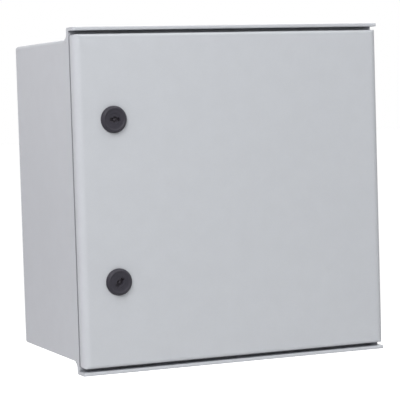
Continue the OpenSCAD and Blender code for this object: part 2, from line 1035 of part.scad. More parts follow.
// Top-hat section: crown on the plate, brim at the front
module rail(z) {
    brim = (rail_h - rail_crown) / 2;
    translate([0, 0, z])
        along_x(-rail_len / 2, rail_len / 2)
            for (side = [0, 1])
                mirror([0, side])
                    union() {
                        translate([-plate_front - rail_t, -eps])
                            square([rail_t, rail_crown / 2 + eps]);
                        translate([-rail_front, rail_crown / 2 - rail_t])
                            square([rail_depth, rail_t]);
                        translate([-rail_front, rail_crown / 2 - rail_t])
                            square([rail_t, brim + rail_t]);
                    }
}

module rail_screw_places() {
    for (z = [upper_rail_z, lower_rail_z])
        for (x = [-rail_screw_x, rail_screw_x])
            translate([x, 0, z])
                children();
}

module rail_cuts(z) {
    for (x = [-rail_screw_x, rail_screw_x])
        post(x, z, plate_front - 1, plate_front + rail_t + 1, rail_screw_r + screw_gap);
}

module upper_rail() {
    color(zinc_steel)
        difference() {
            rail(upper_rail_z);
            rail_cuts(upper_rail_z);
        }
}

module lower_rail() {
    color(zinc_steel)
        difference() {
            rail(lower_rail_z);
            rail_cuts(lower_rail_z);
        }
}

module rail_screws() {
    color(zinc_steel)
        rail_screw_places()
            pan_screw(plate_front + rail_t, rail_screw_r, plate_t + rail_t + rail_screw_over);
}

// Pocket in the back of a device that drops over the rail's brim
module clip_pocket(x0, x1) {
    half = rail_h / 2 + face_gap;
    block([x0 - 1, x1 + 1], [device_back - 1, rail_front], [-half, half]);
}

// Stepped outline of a rail-mounted switch, with the nose that stands through a cover
module modular_device(x0, w) {
    half = module_h / 2;
    nose = module_nose_h / 2;
    back = device_back;
    body = device_back + module_body;
    front = device_back + module_nose;
    difference() {
        along_x(x0, x0 + w)
            polygon(depth_points([
                [back, -half], [body, -half], [body, -nose], [front, -nose],
                [front, nose], [body, nose], [body, half], [back, half]
            ]));
        clip_pocket(x0, x0 + w);
        for (i = [0:1])
            for (side = [-1, 1])
                post(x0 + (i + 0.5) * module_w, side * (half + nose) / 2,
                    body - module_screw_depth, body + 1, module_screw_r);
        block([x0 + module_w - module_seam / 2, x0 + module_w + module_seam / 2],
            [body - module_seam_depth, front + 1], [-half - 1, half + 1]);
    }
}

module breaker_body() {
    color(module_grey)
        translate([0, 0, upper_rail_z])
            difference() {
                modular_device(row_left, breaker_w);
                translate([toggle_x - toggle_w / 2 - face_gap, -toggle_depth, 0])
                    rotate([0, 90, 0])
                        cylinder(h = toggle_w + 2 * face_gap, r = toggle_r + face_gap);
            }
}

// Rocking drum and lever bar, set to on with the lever up
module breaker_toggle() {
    color(black_polyamide)
        translate([toggle_x - toggle_w / 2, -toggle_depth, upper_rail_z])
            rotate([-toggle_angle, 0, 0])
                union() {
                    rotate([0, 90, 0])
                        cylinder(h = toggle_w, r = toggle_r);
                    translate([0, -toggle_reach, -toggle_t / 2])
                        cube([toggle_w, toggle_reach, toggle_t]);
                }
}

// Two plug-in cartridges in one base, each with a round sight window
module surge_arrester() {
    front = device_back + module_nose;
    color(module_grey)
        translate([0, 0, upper_rail_z])
            difference() {
                modular_device(surge_x0, surge_w);
                for (i = [0:1]) {
                    x = surge_x0 + (i + 0.5) * module_w;
                    post(x, sight_z, front - sight_depth, front + 1, sight_r);
                    block([x - grip_w / 2, x + grip_w / 2], [front - grip_depth, front + 1],
                        [grip_z - grip_h / 2, grip_z + grip_h / 2]);
                }
            }
}

// Power supply with cooling slots above and below, and a row of terminals
module power_supply() {
    x1 = supply_x0 + supply_w;
    half = supply_h / 2;
    front = device_back + supply_d;
    ledge = front - supply_ledge_d;
    slot_pitch = supply_w / (supply_slots + 1);
    screw_pitch = supply_w / (supply_screws + 1);
    color(duct_grey)
        translate([0, 0, upper_rail_z])
            difference() {
                block([supply_x0, x1], [device_back, front], [-half, half]);
                clip_pocket(supply_x0, x1);
                for (side = [-1, 1])
                    translate([0, 0, side * half]) {
                        block([supply_x0 - 1, x1 + 1], [ledge, front + 1], [-supply_ledge_h, supply_ledge_h]);
                        for (i = [1:supply_slots])
                            translate([supply_x0 + i * slot_pitch, 0, 0])
                                block([-supply_slot_w / 2, supply_slot_w / 2],
                                    [device_back + supply_slot_back, front - supply_slot_front],
                                    [-supply_slot_cut, supply_slot_cut]);
                        for (i = [1:supply_screws])
                            post(supply_x0 + i * screw_pitch, -side * supply_screw_in,
                                ledge - supply_screw_depth, ledge + 1, supply_screw_r);
                    }
                post(x1 - supply_lamp_x, half - supply_lamp_z, front - lamp_depth, front + 1, lamp_r);
            }
}

// Controller and lamp drivers

module controller_screw_places() {
    for (x = [controller_x0 - controller_ear / 2, controller_x0 + controller_w + controller_ear / 2])
        for (z = [-controller_h / 2 + controller_screw_in, controller_h / 2 - controller_screw_in])
            translate([x, 0, z])
                children();
}

// Housing with two ears on the plate, connector mouths below and lamp windows above
module controller_unit() {
    x1 = controller_x0 + controller_w;
    half = controller_h / 2;
    front = plate_front + controller_d;
    mouth_pitch = controller_w / mouth_count;
    mouth_z = [mouth_low - half, mouth_low + mouth_h - half];
    lamp_x0 = controller_x0 + lamp_in;
    lamp_pitch = (controller_w - 2 * lamp_in) / (lamp_count - 1);
    button_x0 = lamp_x0 + display_w + button_space;
    color(unit_grey)
        difference() {
            union() {
                block([controller_x0, x1], [plate_front, front], [-half, half]);
                block([controller_x0 - controller_ear, x1 + controller_ear],
                    [plate_front, plate_front + controller_ear_t], [-half, half]);
            }
            controller_screw_places()
                post(0, 0, plate_front - 1, plate_front + controller_ear_t + 1, rail_screw_r + screw_gap);
            for (i = [0:mouth_count - 1])
                translate([controller_x0 + i * mouth_pitch, 0, 0])
                    block([mouth_wall, mouth_pitch - mouth_wall], [front - mouth_depth, front + 1], mouth_z);
            for (i = [0:lamp_count - 1])
                post(lamp_x0 + i * lamp_pitch, half - lamp_top, front - lamp_depth, front + 1, lamp_r);
            block([lamp_x0, lamp_x0 + display_w], [front - display_depth, front + 1],
                [display_z - display_h / 2, display_z + display_h / 2]);
            for (i = [0:button_count - 1])
                post(button_x0 + i * button_pitch, display_z, front - lamp_depth, front + 1, button_r);
        }
}

module controller_screws() {
    color(zinc_steel)
        controller_screw_places()
            pan_screw(plate_front + controller_ear_t, rail_screw_r,
                plate_t + controller_ear_t + rail_screw_over);
}

// Row of lamp drivers, each with a fuse holder, lamp windows and a plug below
module lamp_drivers() {
    half = driver_h / 2;
    front = plate_front + driver_d;
    fuse_z = half - fuse_top;
    color(duct_grey)
        for (i = [0:1:driver_count - 1])
            translate([driver_x0 + i * driver_pitch, 0, 0])
                difference() {
                    union() {
                        block([0, driver_w], [plate_front, front], [-half, half]);
                        post(driver_w / 2, fuse_z, front - eps, front + fuse_h, fuse_r);
                    }
                    for (j = [0:driver_lamps - 1])
                        post(driver_w / 2, half - driver_lamp_top - driver_lamp_pitch * j,
                            front - lamp_depth, front + 1, lamp_r);
                    block([mouth_wall, driver_w - mouth_wall], [front - mouth_depth, front + 1],
                        [mouth_low - half, mouth_low + plug_h - half]);
                    block([(driver_w - fuse_slot_l) / 2, (driver_w + fuse_slot_l) / 2],
                        [front + fuse_h - fuse_slot_depth, front + fuse_h + 1],
                        [fuse_z - fuse_slot_w / 2, fuse_z + fuse_slot_w / 2]);
                }
}

// Terminals

// Row of blocks on the lower rail, each with a screw funnel above and below
module terminal_blocks() {
    half = terminal_h / 2;
    front = device_back + terminal_d;
    color(terminal_grey)
        translate([0, 0, lower_rail_z])
            difference() {
                for (i = [0:1:terminal_count - 1])
                    along_x(terminal_x0 + i * terminal_w, terminal_x0 + (i + 1) * terminal_w - terminal_gap)
                        terminal_outline(half, front);
                for (i = [0:1:terminal_count - 1])
                    for (side = [-1, 1])
                        post(terminal_x0 + (i + 0.5) * terminal_w - terminal_gap / 2, side * half / 2,
                            front - terminal_funnel_depth, front + 1, terminal_funnel_r);
            }
}

// Outline with sloped shoulders and a pocket for the rail
module terminal_outline(half, front) {
    pocket = rail_h / 2 + face_gap;
    polygon(depth_points([
        [device_back, -half], [front - terminal_shoulder, -half], [front, -terminal_top_h / 2],
        [front, terminal_top_h / 2], [front - terminal_shoulder, half], [device_back, half],
        [device_back, pocket], [rail_front, pocket], [rail_front, -pocket], [device_back, -pocket]
    ]));
}

module terminal_stops() {
    half = stop_h / 2;
    front = device_back + stop_d;
    end = stop_gap - terminal_x0;
    color(module_grey)
        translate([0, 0, lower_rail_z])
            for (x = [-end - stop_w, end])
                difference() {
                    block([x, x + stop_w], [device_back, front], [-half, half]);
                    clip_pocket(x, x + stop_w);
                    post(x + stop_w / 2, 0, front - stop_screw_depth, front + 1, stop_screw_r);
                }
}

// Earth bar

module bar_screw_places() {
    count = floor((bar_post_x - bar_post_r) / bar_pitch);
    for (i = [-count:count])
        translate([i * bar_pitch, 0, bar_z])
            children();
}

module earth_bar() {
    back = plate_front + bar_post_h;
    color(brass_tone)
        difference() {
            block([-bar_len / 2, bar_len / 2], [back, back + bar_t], [bar_z - bar_w / 2, bar_z + bar_w / 2]);
            bar_screw_places()
                post(0, 0, back - 1, back + bar_t + 1, bar_screw_r + screw_gap);
            for (x = [-bar_post_x, bar_post_x])
                post(x, bar_z, back - 1, back + bar_t + 1, bar_screw_r + screw_gap);
        }
}

module earth_bar_posts() {
    color(accent_green)
        for (x = [-bar_post_x, bar_post_x])
            difference() {
                post(x, bar_z, plate_front, plate_front + bar_post_h, bar_post_r);
                post(x, bar_z, plate_front + bar_post_h - bar_post_bore, plate_front + bar_post_h + 1,
                    bar_screw_r + screw_gap);
            }
}

module earth_screws() {
    seat = plate_front + bar_post_h + bar_t;
    color(brass_tone) {
        bar_screw_places()
            pan_screw(seat, bar_screw_r, bar_t);
        for (x = [-bar_post_x, bar_post_x])
            translate([x, 0, bar_z])
                pan_screw(seat, bar_screw_r, bar_t + bar_post_grip);
    }
}

// Wiring ducts

// Trough of one upright duct with comb-like side walls, centred on x = 0 and z = 0
module duct_tray(len) {
    slots = floor((len - duct_slot_w) / duct_pitch);
    front = plate_front + duct_depth;
    block([-duct_w / 2, duct_w / 2], [plate_front, plate_front + duct_t], [-len / 2, len / 2]);
    for (x = [-duct_w / 2, duct_w / 2 - duct_t])
        along_x(x, x + duct_t)
            difference() {
                translate([-front, -len / 2])
                    square([duct_depth, len]);
                for (i = [0:slots - 1])
                    translate([-front - 1, (i - (slots - 1) / 2) * duct_pitch - duct_slot_w / 2])
                        square([duct_depth - duct_web_h + 1, duct_slot_w]);
            }
}

// Lid that caps the trough and grips its side walls
module duct_cover(len) {
    front = plate_front + duct_depth;
    half = duct_w / 2 + duct_cover_t / 2;
    block([-half, half], [front, front + duct_cover_t], [-len / 2, len / 2]);
    for (x = [-half, duct_w / 2])
        block([x, x + duct_cover_t / 2], [front - duct_cover_lip, front + eps], [-len / 2, len / 2]);
}

module duct_trays() {
    color(duct_grey) {
        for (x = [-duct_x, duct_x])
            translate([x, 0, 0])
                duct_tray(upright_len);
        for (z = [-duct_z, duct_z])
            translate([0, 0, z])
                rotate([0, 90, 0])
                    duct_tray(level_len);
    }
}

module duct_covers() {
    color(duct_grey) {
        for (x = [-duct_x, duct_x])
            translate([x, 0, 0])
                duct_cover(upright_len);
        for (z = [-duct_z, duct_z])
            translate([0, 0, z])
                rotate([0, 90, 0])
                    duct_cover(level_len);
    }
}

case_body();
threaded_inserts();
mounting_plate();
plate_screws();
upper_rail();
lower_rail();
rail_screws();
breaker_body();
breaker_toggle();
surge_arrester();
power_supply();
controller_unit();
controller_screws();
lamp_drivers();
terminal_blocks();
terminal_stops();
earth_bar();
earth_bar_posts();
earth_screws();
duct_trays();
duct_covers();
case_leaf(hinge_z);  // case_leaf_upper
case_leaf(-hinge_z);  // case_leaf_lower
hinge_pin(hinge_z);  // hinge_pin_upper
hinge_pin(-hinge_z);  // hinge_pin_lower
case_leaf_screws();
door_panel();
door_gasket();
door_leaf(hinge_z);  // door_leaf_upper
door_leaf(-hinge_z);  // door_leaf_lower
door_leaf_screws();
lock_housing(lock_z);  // lock_housing_upper
lock_housing(-lock_z);  // lock_housing_lower
lock_seal(lock_z);  // lock_seal_upper
lock_seal(-lock_z);  // lock_seal_lower
lock_nut(lock_z);  // lock_nut_upper
lock_nut(-lock_z);  // lock_nut_lower
lock_spindle(lock_z, 0);  // lock_spindle_upper
lock_spindle(-lock_z, lower_turn);  // lock_spindle_lower
lock_cam(lock_z, 0);  // lock_cam_upper
lock_cam(-lock_z, lower_turn);  // lock_cam_lower
cam_screw(lock_z, 0);  // cam_screw_upper
cam_screw(-lock_z, lower_turn);  // cam_screw_lower
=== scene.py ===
"""Dresses the signal controller cabinet: finishes, small fittings and a studio stage."""

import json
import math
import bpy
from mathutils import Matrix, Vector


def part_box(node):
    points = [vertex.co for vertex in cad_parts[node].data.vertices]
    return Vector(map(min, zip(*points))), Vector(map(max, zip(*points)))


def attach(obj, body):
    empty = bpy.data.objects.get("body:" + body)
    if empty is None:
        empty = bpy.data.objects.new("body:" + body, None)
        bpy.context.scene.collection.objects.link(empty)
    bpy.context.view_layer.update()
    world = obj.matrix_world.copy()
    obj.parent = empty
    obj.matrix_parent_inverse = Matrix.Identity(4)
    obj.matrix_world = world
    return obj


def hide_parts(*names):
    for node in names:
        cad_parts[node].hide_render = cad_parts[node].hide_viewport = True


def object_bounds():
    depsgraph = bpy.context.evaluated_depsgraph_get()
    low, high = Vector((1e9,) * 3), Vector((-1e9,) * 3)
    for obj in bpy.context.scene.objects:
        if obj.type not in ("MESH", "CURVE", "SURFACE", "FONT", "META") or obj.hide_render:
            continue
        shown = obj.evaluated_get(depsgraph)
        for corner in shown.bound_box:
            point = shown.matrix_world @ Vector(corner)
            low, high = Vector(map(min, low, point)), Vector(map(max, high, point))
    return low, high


bl_info = {
    "name": "Signal Controller Cabinet",
    "version": (1, 0, 0),
    "blender": (4, 5, 0),
    "location": "3D View > Sidebar > Cabinet",
    "description": "Gives the solids their finishes, adds small fittings and sets a studio stage",
    "category": "Object",
}

import bmesh
import bpy
import numpy as np
from mathutils import Quaternion, Vector

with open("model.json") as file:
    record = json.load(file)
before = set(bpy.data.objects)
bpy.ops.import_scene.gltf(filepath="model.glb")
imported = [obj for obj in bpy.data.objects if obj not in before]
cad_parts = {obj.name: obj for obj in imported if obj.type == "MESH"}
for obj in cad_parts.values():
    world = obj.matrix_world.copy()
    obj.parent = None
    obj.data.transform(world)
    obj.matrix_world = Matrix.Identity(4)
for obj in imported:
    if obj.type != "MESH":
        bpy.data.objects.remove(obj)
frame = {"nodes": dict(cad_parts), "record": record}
CAD_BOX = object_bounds()
MM = 0.001
WHITE = (1.0, 1.0, 1.0, 1.0)
SENSOR_MM = 36.0
SHARP_ANGLE = math.radians(32)
WELD = 1e-7
TINY = 1e-6
TINT_STOPS = (0.35, 0.65)
EDGE_SAMPLES = 6
DIRT_SAMPLES = 16

# Counts, as the solids of the units have them
LAMP_TINTS = ("red", "amber", "green")
LAMPS, KEYS, MOUTHS, POLES, SUPPLY_CLAMPS = 12, 4, 5, 2, 5
PLUG_SCREWS, SOCKET_SCREWS = 5, 3


# Colours and nodes

def linear(code):
    """Linear RGBA of an sRGB hex colour: c / 12.92 up to 0.04045, and ((c + 0.055) / 1.055) ** 2.4
    above it."""
    srgb = np.array([int(code[i:i + 2], 16) for i in (1, 3, 5)]) / 255
    rgb = np.where(srgb <= 0.04045, srgb / 12.92, ((srgb + 0.055) / 1.055) ** 2.4)
    return (*rgb.tolist(), 1.0)


def shade(colour, factor):
    """A colour made lighter or darker by one factor."""
    return (*[min(1.0, c * factor) for c in colour[:3]], 1.0)


def connect(tree, node, **inputs):
    """Sets or links a node's inputs, each given by socket name or, as in i0, by number."""
    for key, value in inputs.items():
        key = key.replace("_", " ")
        socket = node.inputs[int(key[1:])] if key[1:].isdigit() else node.inputs[key]
        if isinstance(value, bpy.types.NodeSocket):
            tree.links.new(value, socket)
        else:
            socket.default_value = value


def add(tree, kind, settings=None, **inputs):
    """Adds one node: settings are its attributes, and inputs go to its sockets."""
    made = tree.nodes.new(kind)
    for key, value in (settings or {}).items():
        setattr(made, key, value)
    connect(tree, made, **inputs)
    return made


def new_material(name):
    """Node material with a Principled shader, its output and Object coordinates in metres."""
    material = bpy.data.materials.new(name)
    material.use_nodes = True
    tree = material.node_tree
    tree.nodes.clear()
    shader = add(tree, "ShaderNodeBsdfPrincipled")
    add(tree, "ShaderNodeOutputMaterial", Surface=shader.outputs["BSDF"])
    place = add(tree, "ShaderNodeTexCoord").outputs["Object"]
    return material, tree, shader, place


def per_metre(size_mm):
    """Texture scale at which one pattern cell is as large as the real one."""
    return 1.0 / (size_mm * MM)


def mottled(tree, place, size_mm, dark, light, detail=3.0):
    """Noise of a real cell size, spread over two tints of one colour."""
    noise = add(tree, "ShaderNodeTexNoise", Vector=place, Scale=per_metre(size_mm), Detail=detail)
    ramp = add(tree, "ShaderNodeValToRGB", Fac=noise.outputs["Fac"])
    for stop, position, tint in zip(ramp.color_ramp.elements, TINT_STOPS, (dark, light)):
        stop.position, stop.color = position, tint
    return ramp.outputs["Color"]


def deeper_than(tree, place, front, start_mm, end_mm):
    """Share that rises from 0 to 1 between two depths behind a front plane."""
    depth = add(tree, "ShaderNodeSeparateXYZ", Vector=place).outputs["Y"]
    return add(tree, "ShaderNodeMapRange", Value=depth, From_Min=front + start_mm * MM,
               From_Max=front + end_mm * MM).outputs["Result"]


# Finishes

def moulded_polyester(name, colour, joint_shade, front):
    """Compression-moulded glass-fibre polyester: pale satin grey with faint fibre clouds, a slow
    wave in the skin, fine orange peel, softly broken edges and painted shade in its narrow joints."""
    cloud_mm, fibre_mm, fibre_share = 26.0, 1.6, 0.35
    # Orange peel is about 0.5 mm wide on the real skin and drawn coarser so that it shows.
    peel_mm, wave_mm, wave_share, relief_mm, edge_mm = 1.4, 60.0, 5.0, 0.02, 1.2
    # Painted shade: an ambient occlusion node darkens joints narrower than about 5 mm, where shade
    # falls, but not on the open front face.
    joint_mm, contrast, paint_start_mm, full_shade_mm = 4.8, 4.0, 0.5, 2.5
    material, tree, shader, place = new_material(name)
    clouds = mottled(tree, place, cloud_mm, shade(colour, 0.985), shade(colour, 1.012))
    fibres = mottled(tree, place, fibre_mm, shade(colour, 0.97), shade(colour, 1.02), 2.0)
    skin = add(tree, "ShaderNodeMix", {"data_type": "RGBA"}, i0=fibre_share, i6=clouds, i7=fibres)
    peel = add(tree, "ShaderNodeTexNoise", Vector=place, Scale=per_metre(peel_mm), Detail=2.0)
    waves = add(tree, "ShaderNodeTexNoise", Vector=place, Scale=per_metre(wave_mm), Detail=1.0)
    height = add(tree, "ShaderNodeMath", {"operation": "MULTIPLY_ADD"}, i0=waves.outputs["Fac"],
                 i1=wave_share, i2=peel.outputs["Fac"])
    edges = add(tree, "ShaderNodeBevel", {"samples": EDGE_SAMPLES}, Radius=edge_mm * MM)
    bump = add(tree, "ShaderNodeBump", Strength=0.35, Distance=relief_mm * MM,
               Height=height.outputs[0], Normal=edges.outputs["Normal"])
    # Painted shade: how hemmed in a point is sets how much of the dark joint colour it takes.
    openness = add(tree, "ShaderNodeAmbientOcclusion", {"samples": DIRT_SAMPLES},
                   Distance=joint_mm * MM)
    openness_power = add(tree, "ShaderNodeMath", {"operation": "POWER"}, i0=openness.outputs["AO"],
                    i1=contrast)
    share = add(tree, "ShaderNodeMapRange", Value=openness_power.outputs[0],
                To_Min=deeper_than(tree, place, front, paint_start_mm, full_shade_mm), To_Max=0.0)
    shaded_skin = add(tree, "ShaderNodeMix", {"data_type": "RGBA"}, i0=share.outputs["Result"],
                 i6=skin.outputs[2], i7=joint_shade)
    connect(tree, shader, Base_Color=shaded_skin.outputs[2], Normal=bump.outputs["Normal"],
            Roughness=0.42, IOR=1.52)
    return material


def moulded_plastic(name, colour, grain_mm=0.8, rough=0.5, edge_mm=0.35, specular=0.5, dust=None):
    """Injection-moulded thermoplastic: even colour with a spark-eroded grain and softly broken
    edges. Painted light, given as a front plane and a tint, turns what lies deeper than that
    plane towards the tint."""
    cast_mm, relief_mm, paint_start_mm, full_light_mm = 14.0, 0.03, 1.0, 3.0
    material, tree, shader, place = new_material(name)
    cast = mottled(tree, place, cast_mm, shade(colour, 0.95), shade(colour, 1.04))
    # Painted light: a tint, lighter than the plastic, laid into what lies behind the front plane.
    if dust:
        front, tint = dust
        deep = deeper_than(tree, place, front, paint_start_mm, full_light_mm)
        cast = add(tree, "ShaderNodeMix", {"data_type": "RGBA"}, i0=deep, i6=cast,
                   i7=tint).outputs[2]
    grain = add(tree, "ShaderNodeTexNoise", Vector=place, Scale=per_metre(grain_mm),
                Detail=2.0).outputs["Fac"]
    edges = add(tree, "ShaderNodeBevel", {"samples": EDGE_SAMPLES}, Radius=edge_mm * MM)
    bump = add(tree, "ShaderNodeBump", Strength=0.3, Distance=relief_mm * MM, Height=grain,
               Normal=edges.outputs["Normal"])
    gloss = add(tree, "ShaderNodeMapRange", Value=grain, To_Min=rough - 0.05, To_Max=rough + 0.07)
    connect(tree, shader, Base_Color=cast, Roughness=gloss.outputs["Result"],
            Normal=bump.outputs["Normal"], IOR=1.5, Specular_IOR_Level=specular)
    return material


def drawn_metal(name, colour, streak_mm=0.8, rough=0.3, edge_mm=0.3):
    """Rolled, drawn or plated metal: fine streaks along X that vary the gloss, clouds of uneven
    plating and edges broken in a tumbler."""
    cloud_mm, relief_mm, stretch = 18.0, 0.01, 0.04
    material, tree, shader, place = new_material(name)
    drawn = add(tree, "ShaderNodeMapping", Vector=place, Scale=(stretch, 1.0, 1.0))
    streaks = add(tree, "ShaderNodeTexNoise", Vector=drawn.outputs["Vector"],
                  Scale=per_metre(streak_mm), Detail=4.0).outputs["Fac"]
    clouds = mottled(tree, place, cloud_mm, shade(colour, 0.9), shade(colour, 1.05))
    gloss = add(tree, "ShaderNodeMapRange", Value=streaks, To_Min=rough - 0.08, To_Max=rough + 0.12)
    edges = add(tree, "ShaderNodeBevel", {"samples": EDGE_SAMPLES}, Radius=edge_mm * MM)
    bump = add(tree, "ShaderNodeBump", Strength=0.15, Distance=relief_mm * MM, Height=streaks,
               Normal=edges.outputs["Normal"])
    connect(tree, shader, Base_Color=clouds, Roughness=gloss.outputs["Result"],
            Normal=bump.outputs["Normal"], Metallic=1.0)
    return material


def skinned_foam(name, colour, cell_mm=0.6, rough=0.7):
    """Foamed polyurethane or rubber: dark and dull, with a skin of fine closed cells."""
    cast_mm, relief_mm = 5.0, 0.08
    material, tree, shader, place = new_material(name)
    cells = add(tree, "ShaderNodeTexVoronoi", Vector=place, Scale=per_metre(cell_mm))
    bump = add(tree, "ShaderNodeBump", Strength=0.4, Distance=relief_mm * MM,
               Height=cells.outputs["Distance"])
    cast = mottled(tree, place, cast_mm, shade(colour, 0.85), shade(colour, 1.15))
    connect(tree, shader, Base_Color=cast, Normal=bump.outputs["Normal"], Roughness=rough, IOR=1.45)
    return material


def acrylic_lens(name, colour):
    """Tinted acrylic, polished: deep colour with a sharp highlight and a faint moulded cast."""
    cast_mm = 1.2
    material, tree, shader, place = new_material(name)
    cast = mottled(tree, place, cast_mm, shade(colour, 0.7), shade(colour, 1.15))
    connect(tree, shader, Base_Color=cast, Roughness=0.08, IOR=1.49, Coat_Weight=0.6)
    return material


def display_glass(name, colour, dot_mm):
    """Display behind a polycarbonate window: dull dot grid under a glossy sheet."""
    material, tree, shader, place = new_material(name)
    grid = add(tree, "ShaderNodeTexChecker", Vector=place, Scale=per_metre(dot_mm),
               Color1=shade(colour, 0.9), Color2=shade(colour, 1.1))
    connect(tree, shader, Base_Color=grid.outputs["Color"], Roughness=0.12, IOR=1.58)
    return material


def studio_paper(name, light, dark, glow):
    """Matt white background paper: even, with faint clouds, lifted to white for the camera alone,
    and clear from its underside."""
    cloud_mm = 400.0
    material, tree, shader, place = new_material(name)
    clouds = mottled(tree, place, cloud_mm, dark, light)
    rays = add(tree, "ShaderNodeLightPath")
    seen = add(tree, "ShaderNodeMath", {"operation": "MULTIPLY"}, i0=rays.outputs["Is Camera Ray"],
               i1=glow)
    side = add(tree, "ShaderNodeNewGeometry").outputs["Backfacing"]
    upper = add(tree, "ShaderNodeMath", {"operation": "SUBTRACT"}, i0=1.0, i1=side)
    connect(tree, shader, Base_Color=clouds, Roughness=0.9, Emission_Color=WHITE,
            Emission_Strength=seen.outputs[0], Alpha=upper.outputs[0])
    return material


def finishes_by_slot(colours):
    """Material of each slot, and that of the key recesses."""
    lock_feel = {"grain_mm": 0.7, "rough": 0.48, "specular": 0.36}
    door_front, key_front = corners("door_panel")[0][1], corners("lock_spindle_upper")[0][1]
    return {
        "grey_polyester": moulded_polyester("Glass-fibre polyester, moulded satin",
                                            colours.polyester, colours.joint_shade, door_front),
        "black_polyamide": moulded_plastic("Polyamide, black glass-filled", colours.polyamide,
                                           **lock_feel),
        # Painted light in the key recesses of the lock spindles, which lifts their shade.
        "key_recess": moulded_plastic("Polyamide, black with a dusty key recess", colours.polyamide,
                                      dust=(key_front, colours.dust), **lock_feel),
        "zinc_plated_steel": drawn_metal("Steel, zinc plated", colours.zinc, streak_mm=1.2,
                                         rough=0.34),
        "stainless_steel": drawn_metal("Stainless steel, satin", colours.stainless),
        "brass": drawn_metal("Brass, drawn", colours.brass, rough=0.28),
        "foam_gasket": skinned_foam("Polyurethane foam, skinned", colours.foam, cell_mm=0.9,
                                    rough=0.85),
        "seal_rubber": skinned_foam("Rubber, moulded", colours.rubber),
        "module_plastic": moulded_plastic("Thermoplastic, light grey", colours.module, rough=0.45),
        "unit_housing": moulded_plastic("Thermoplastic, slate grey", colours.unit, grain_mm=1.0),
        "driver_housing": moulded_plastic("Thermoplastic, mid grey", colours.driver, grain_mm=0.9),
        "duct_plastic": moulded_plastic("Vinyl, extruded", colours.duct, grain_mm=1.2, rough=0.4),
        "terminal_plastic": moulded_plastic("Polyamide, grey", colours.terminal),
        "post_plastic": moulded_plastic("Polyester standoff, moulded", colours.post, rough=0.45),
    }


# Properties

def colour_prop(name, description, code):
    """Colour with a default given as an sRGB hex code."""
    return bpy.props.FloatVectorProperty(name=name, description=description, default=linear(code),
                                         size=4, subtype="COLOR", min=0.0, max=1.0)


def length_prop(name, description, size_mm):
    """Length with a default given in millimetres."""
    return bpy.props.FloatProperty(name=name, description=description, default=size_mm * MM,
                                   unit="LENGTH", subtype="DISTANCE", min=0.0, precision=5)


def place_prop(name, description, place):
    """Place in the cabinet's frame, in metres."""
    return bpy.props.FloatVectorProperty(name=name, description=description, default=place, size=3,
                                         unit="LENGTH", subtype="XYZ", precision=5)


def power_prop(name, description, watts):
    """Power of a lamp."""
    return bpy.props.FloatProperty(name=name, description=description, default=watts,
                                   unit="POWER", min=0.0)


def factor_prop(name, description, value):
    """Plain share."""
    return bpy.props.FloatProperty(name=name, description=description, default=value,
                                   subtype="FACTOR", min=0.0)


class CabinetColours(bpy.types.PropertyGroup):
    """Colours of the finishes."""
    polyester: colour_prop("Polyester", "Moulded case and door", "#C2C5CA")
    # Painted shade: the dark colour laid into the narrow joints of case and door.
    joint_shade: colour_prop("Dirt", "Dirt in the joints of case and door", "#7B7C84")
    polyamide: colour_prop("Black polyamide", "Locks, nuts and toggle", "#2D2B34")
    # Painted light: a lighter colour laid into the deep key recesses to lift their shade.
    dust: colour_prop("Dust", "Dust in the key recesses", "#4C4850")
    zinc: colour_prop("Zinc plating", "Plate, rails, cams and screws", "#C3C6C8")
    stainless: colour_prop("Stainless steel", "Hinges and their screws", "#C9CBCC")
    brass: colour_prop("Brass", "Earth bar and inserts", "#C9A14A")
    foam: colour_prop("Foam", "Foamed gasket of the door", "#3F4042")
    rubber: colour_prop("Rubber", "Seal under each lock head", "#1E1E20")
    module: colour_prop("Module plastic", "Breaker, surge arrester and end stops", "#D9DAD6")
    unit: colour_prop("Unit housing", "Controller", "#59626B")
    driver: colour_prop("Driver housing", "Power supply and lamp drivers", "#9BA2A6")
    duct: colour_prop("Duct plastic", "Wiring ducts", "#A9ADB0")
    terminal: colour_prop("Terminal plastic", "Terminal blocks", "#85898A")
    post: colour_prop("Post plastic", "Posts under the earth bar", "#7C3B2A")
    plug: colour_prop("Plug plastic", "Plugs in the units", "#3E7A4A")
    marker: colour_prop("Marker plastic", "Blank markers on the terminals", "#E9E8E2")
    display: colour_prop("Display", "Controller display", "#8FA08A")
    keycap: colour_prop("Key cap", "Controller keys", "#B8BDC1")
    red: colour_prop("Red lens", "Indicator lamps for red", "#B3262A")
    amber: colour_prop("Amber lens", "Indicator lamps for amber", "#D08A1E")
    green: colour_prop("Green lens", "Indicator lamps for green", "#2F9A4C")
    flag: colour_prop("Green flag", "Sight windows of the surge arrester", "#3DA35A")
    paper_light: colour_prop("Light paper", "Lightest tint of the floor", "#F7F7F7")
    paper_dark: colour_prop("Dark paper", "Darkest tint of the floor", "#F4F4F4")


